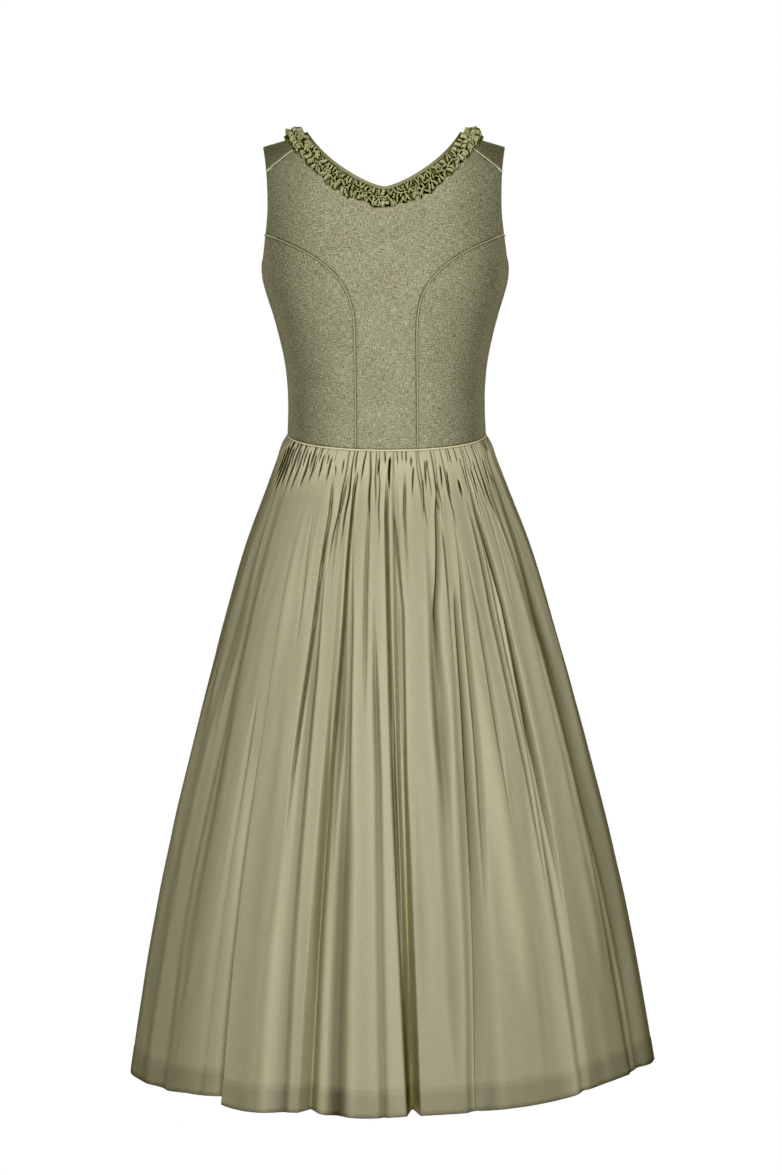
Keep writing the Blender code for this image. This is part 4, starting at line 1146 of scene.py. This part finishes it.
def neck_trim(finish):
    """Ruched band of the neck, pinched into small folds."""
    line = neck_line(RUCHE_STEP)
    run = line_lengths(line)
    across = np.linspace(BINDING_WIDTH + 0.4, TRIM_WIDTH + 4.0, RUCHE_ROWS)
    s, v = np.meshgrid(run, across, indexing="ij")
    height = ruche_height(run, s, v, ruche_petals(run[-1], 7))
    at_shoulder = np.exp(-(line[:, 1:] / SHOULDER_RUN) ** 2)
    scallop = 1.3 * np.sin(run / 1.9 + 1.5 * np.sin(run / 11.0)) + 1.2 * np.sin(run / 4.6)
    edge = TRIM_WIDTH - 1.5 + scallop[:, None] + 4.0 * at_shoulder
    # Painted shade: even over the ruching, darker in its crevices and low places, and lighter on
    # its sharp crests as a painted highlight.
    painted_shade = 0.3 + (spread(height, 2, 2) - height) / 0.65 + np.clip((4.6 - height) / 3.0, 0, 1)
    height *= 0.35 + 0.65 * ease((edge - v) / 1.6)
    height *= 1 + 0.35 * at_shoulder
    v = np.minimum(v, edge + 0.02 * (v - BINDING_WIDTH))
    height *= ease(np.minimum(s, run[-1] - s) / 3.0 + 0.2)
    top = beside_line(line, v, TRIM_LIFT + height)
    under = beside_line(line, v[:, [0, -1]], np.full((len(line), 2), TRIM_LIFT - 0.1))
    rows, columns = v.shape
    weave = np.stack((s * 1.6, v * 1.4 + height), axis=-1)
    ruche = add_piece("neck_trim", "ruche", np.concatenate((top, under)),
                      layer_faces(rows, columns, 1, columns - 1), finish,
                      stacked(weave, weave[:, [0, -1]]), stacked(painted_shade, np.zeros((rows, 2))))
    return ruche


# ---- finishes
class Finish:
    """A material, with short ways to add nodes to it."""

    def __init__(self, name):
        self.material = bpy.data.materials.new(name)
        self.material.use_nodes = True
        self.nodes, self.links = self.material.node_tree.nodes, self.material.node_tree.links
        self.shader = self.nodes["Principled BSDF"]

    def attribute(self, name):
        """The outputs of a value that the mesh holds at its points."""
        node = self.nodes.new("ShaderNodeAttribute")
        node.attribute_name = name
        return node.outputs

    def noise(self, source, scale, detail, stretch=(1.0, 1.0, 1.0), roughness=0.5):
        """Noise over the cloth, stretched along the threads."""
        mapping = self.nodes.new("ShaderNodeMapping")
        mapping.inputs["Scale"].default_value = stretch
        self.links.new(source, mapping.inputs["Vector"])
        noise = self.nodes.new("ShaderNodeTexNoise")
        for socket, value in (("Scale", scale), ("Detail", detail), ("Roughness", roughness)):
            noise.inputs[socket].default_value = value
        self.links.new(mapping.outputs["Vector"], noise.inputs["Vector"])
        return noise.outputs["Fac"]

    def combine(self, kind, *values):
        """Two values, or a value and a number, put together."""
        node = self.nodes.new("ShaderNodeMath")
        node.operation = kind
        for socket, value in zip(node.inputs, values):
            if isinstance(value, (int, float)):
                socket.default_value = value
            else:
                self.links.new(value, socket)
        return node.outputs["Value"]

    def ramp(self, fac, stops):
        """A ramp of colours over a value, from its first stop to its last."""
        ramp = self.nodes.new("ShaderNodeValToRGB")
        elements = ramp.color_ramp.elements
        for element, (position, colour) in zip(elements, (stops[0], stops[-1])):
            element.position = position
            element.color = (*colour, 1.0)
        for position, colour in stops[1:-1]:
            elements.new(position).color = (*colour, 1.0)
        self.links.new(fac, ramp.inputs["Fac"])
        return ramp.outputs["Color"]


def srgb(levels):
    """Linear colour from the usual 0 to 255 levels."""
    return tuple(((level / 255 + 0.055) / 1.055) ** 2.4 for level in levels)


def woven(name, dark, middle, light, roughness=0.6, sheen=0.05, speckle=0.3, bump=0.2,
          slub=(1500.0, 1500.0), patchy=0.1, painted_shade_colour=PAINTED_SHADE_COLOUR, grain_scale=420.0, contrast=1.0):
    """A woven cloth: threads both ways, speckle, soft large patches, painted shade from the mesh
    and a fine bump.
    """
    cloth = Finish(name)
    place = cloth.attribute("cloth")["Vector"]
    warp = cloth.noise(place, 1.0, 2.0, (slub[0], THREAD_STRETCH * slub[0], 1.0), 0.6)
    weft = cloth.noise(place, 1.0, 2.0, (THREAD_STRETCH * slub[1], slub[1], 1.0), 0.6)
    grain = cloth.noise(place, grain_scale, 3.0, roughness=0.65)
    patch = cloth.noise(place, 22.0, 3.0)
    threads = cloth.combine("MULTIPLY", cloth.combine("ADD", warp, weft), 0.5)
    value = cloth.combine("MULTIPLY", threads, 0.5)
    for part, share in ((grain, speckle), (patch, patchy)):
        value = cloth.combine("ADD", value, cloth.combine("MULTIPLY", part, share))
    value = cloth.combine("DIVIDE", value, 0.5 + speckle + patchy)
    half = 0.14 / contrast
    stops = [(0.5 - half, srgb(dark)), (0.5, srgb(middle)), (0.5 + half, srgb(light))]
    colour = cloth.ramp(value, stops)
    # Painted shade: the colour is multiplied towards the dark shade colour as far as the mesh's
    # shade value says.
    shade = cloth.nodes.new("ShaderNodeMix")
    shade.data_type = "RGBA"
    shade.blend_type = "MULTIPLY"
    cloth.links.new(cloth.attribute("painted_shade")["Fac"], shade.inputs[0])
    cloth.links.new(colour, shade.inputs[6])
    shade.inputs[7].default_value = (*painted_shade_colour, 1.0)
    cloth.links.new(shade.outputs[2], cloth.shader.inputs["Base Color"])
    for socket, number in (("Roughness", roughness), ("Sheen Weight", sheen),
                           ("Sheen Roughness", 0.5), ("Sheen Tint", SHEEN_TINT),
                           ("Specular IOR Level", 0.3)):
        cloth.shader.inputs[socket].default_value = number
    raise_it = cloth.nodes.new("ShaderNodeBump")
    raise_it.inputs["Strength"].default_value = bump
    raise_it.inputs["Distance"].default_value = BUMP_HEIGHT
    height = cloth.combine("ADD", threads, cloth.combine("MULTIPLY", grain, 0.6))
    cloth.links.new(height, raise_it.inputs["Height"])
    cloth.links.new(raise_it.outputs["Normal"], cloth.shader.inputs["Normal"])
    return cloth.material


# ---- light, floor and camera
def area_light(name, place, target, width, height, power):
    """A soft box that faces a point."""
    data = bpy.data.lights.new(name, "AREA")
    data.shape = "RECTANGLE"
    data.size = width
    data.size_y = height
    data.energy = power
    light = bpy.data.objects.new(name, data)
    light.location = place
    light.rotation_euler = (Vector(target) - Vector(place)).to_track_quat("-Z", "Y").to_euler()
    bpy.context.scene.collection.objects.link(light)


def add_lights():
    """The same large soft box before and behind, and a weak one at each side."""
    for name, sense in (("key", -1), ("front", 1)):
        area_light(name, (0.0, 2.3 * sense, -0.05), (0.0, 0.0, -0.05), SOFT_BOX, SOFT_BOX, 63.0)
    for name, sense in (("left", -1), ("right", 1)):
        area_light(name, (2.7 * sense, -0.4, -0.3), (0.0, 0.0, -0.4), SOFT_BOX, 1.6, 10.0)


def set_world(background, ambient):
    """White behind the dress, and a dimmer even light on it."""
    world = bpy.data.worlds.new("studio")
    bpy.context.scene.world = world
    world.use_nodes = True
    nodes, links = world.node_tree.nodes, world.node_tree.links
    light, seen = nodes["Background"], nodes.new("ShaderNodeBackground")
    for node, strength in ((light, ambient), (seen, background)):
        node.inputs["Color"].default_value = (1.0, 1.0, 1.0, 1.0)
        node.inputs["Strength"].default_value = strength
    path = nodes.new("ShaderNodeLightPath")
    mix = nodes.new("ShaderNodeMixShader")
    links.new(path.outputs["Is Camera Ray"], mix.inputs["Fac"])
    links.new(light.outputs["Background"], mix.inputs[1])
    links.new(seen.outputs["Background"], mix.inputs[2])
    links.new(mix.outputs["Shader"], nodes["World Output"].inputs["Surface"])


def set_contrast(black):
    """The contrast of the picture: light below this level is black."""
    view = bpy.context.scene.view_settings
    view.view_transform = "Standard"
    view.use_curve_mapping = True
    view.curve_mapping.black_level = (black, black, black)


def add_floor():
    """A plain pale floor below the hanging dress."""
    mesh = bpy.data.meshes.new("floor")
    level = (HEM_HEIGHT - FLOOR_DROP) * MM
    turns = [2 * math.pi * i / FLOOR_SIDES for i in range(FLOOR_SIDES)]
    rim = [(FLOOR_RADIUS * math.cos(turn), FLOOR_RADIUS * math.sin(turn), level) for turn in turns]
    mesh.from_pydata(rim, [], [tuple(range(FLOOR_SIDES))])
    finish = Finish("floor")
    finish.shader.inputs["Base Color"].default_value = (0.9, 0.9, 0.9, 1.0)
    finish.shader.inputs["Roughness"].default_value = 0.9
    mesh.materials.append(finish.material)
    floor = bpy.data.objects.new("floor", mesh)
    bpy.context.scene.collection.objects.link(floor)


def add_camera():
    """The camera behind the dress, level with its hips and looking slightly down."""
    data = bpy.data.cameras.new("camera")
    data.sensor_fit = "VERTICAL"
    data.sensor_height = 36.0
    data.lens = 104.67
    camera = bpy.data.objects.new("camera", data)
    camera.location = (0.0092, -CAMERA_DISTANCE, -0.398)
    camera.rotation_euler = (math.radians(90.0 - CAMERA_TILT), 0.0, 0.0)
    bpy.context.scene.collection.objects.link(camera)
    bpy.context.scene.camera = camera


def main():
    heathered = {"roughness": 0.9, "speckle": 0.7, "bump": 0.6, "slub": (900.0, 900.0),
                 "patchy": 0.05, "grain_scale": 760.0, "contrast": 1.3}
    linen = woven("linen", (88, 85, 60), (143, 141, 115), (198, 196, 172), sheen=0.24, **heathered)
    # A darker copy of the linen for the fronts: painted shade where they turn over the shoulder.
    turned = woven("shaded_linen", (78, 75, 53), (128, 125, 102), (178, 175, 153), sheen=0.2,
                   **heathered)
    satin = woven("satin", (180, 176, 144), (189, 184, 153), (196, 192, 161), speckle=0.2,
                  slub=(1500.0, 900.0), patchy=0.05)
    # The trim's painted shade goes nearly to black.
    trim = woven("trim", (150, 150, 112), (172, 171, 132), (190, 190, 152), bump=0.3,
                 painted_shade_colour=(0.05, 0.05, 0.05))
    # One piping cloth in three brightnesses: the back seams' copy is darker, painted shade, and the
    # waist's lighter, painted light.
    piping = woven("piping", (168, 165, 132), (184, 181, 149), (196, 194, 163))
    shaded_back_piping = woven("shaded_back_piping", (152, 149, 117), (167, 164, 132), (180, 178, 147))
    lit_waist_piping = woven("lit_waist_piping", (196, 193, 160), (208, 205, 172), (218, 215, 184))
    band = woven("neck_band", (118, 116, 88), (134, 132, 103), (148, 146, 117), roughness=0.7,
                 speckle=0.5, bump=0.3)
    bodice(linen, turned, shaded_back_piping, piping)
    underlap(linen)
    neck_binding(band)
    neck_trim(trim)
    waist_cord(lit_waist_piping)
    fine = gathers(3)
    centre_back = FOLDS["hem"][np.abs(FOLDS["hem"]).argmin()]
    back_size, front_size = (SKIRT_ROWS, SKIRT_COLUMNS), (FRONT_ROWS, FRONT_COLUMNS)
    for name, start, end, size in (("skirt_back_left", -90.0, centre_back, back_size),
                                   ("skirt_back_right", centre_back, 90.0, back_size),
                                   ("skirt_front_right", 90.0, 180.0, front_size),
                                   ("skirt_front_left", -180.0, -90.0, front_size)):
        width = skirt_width(name, start, end, size, satin, fine)
    add_lights()
    set_world(1.0, 0.04)
    set_contrast(0.05)
    add_floor()
    add_camera()


main()
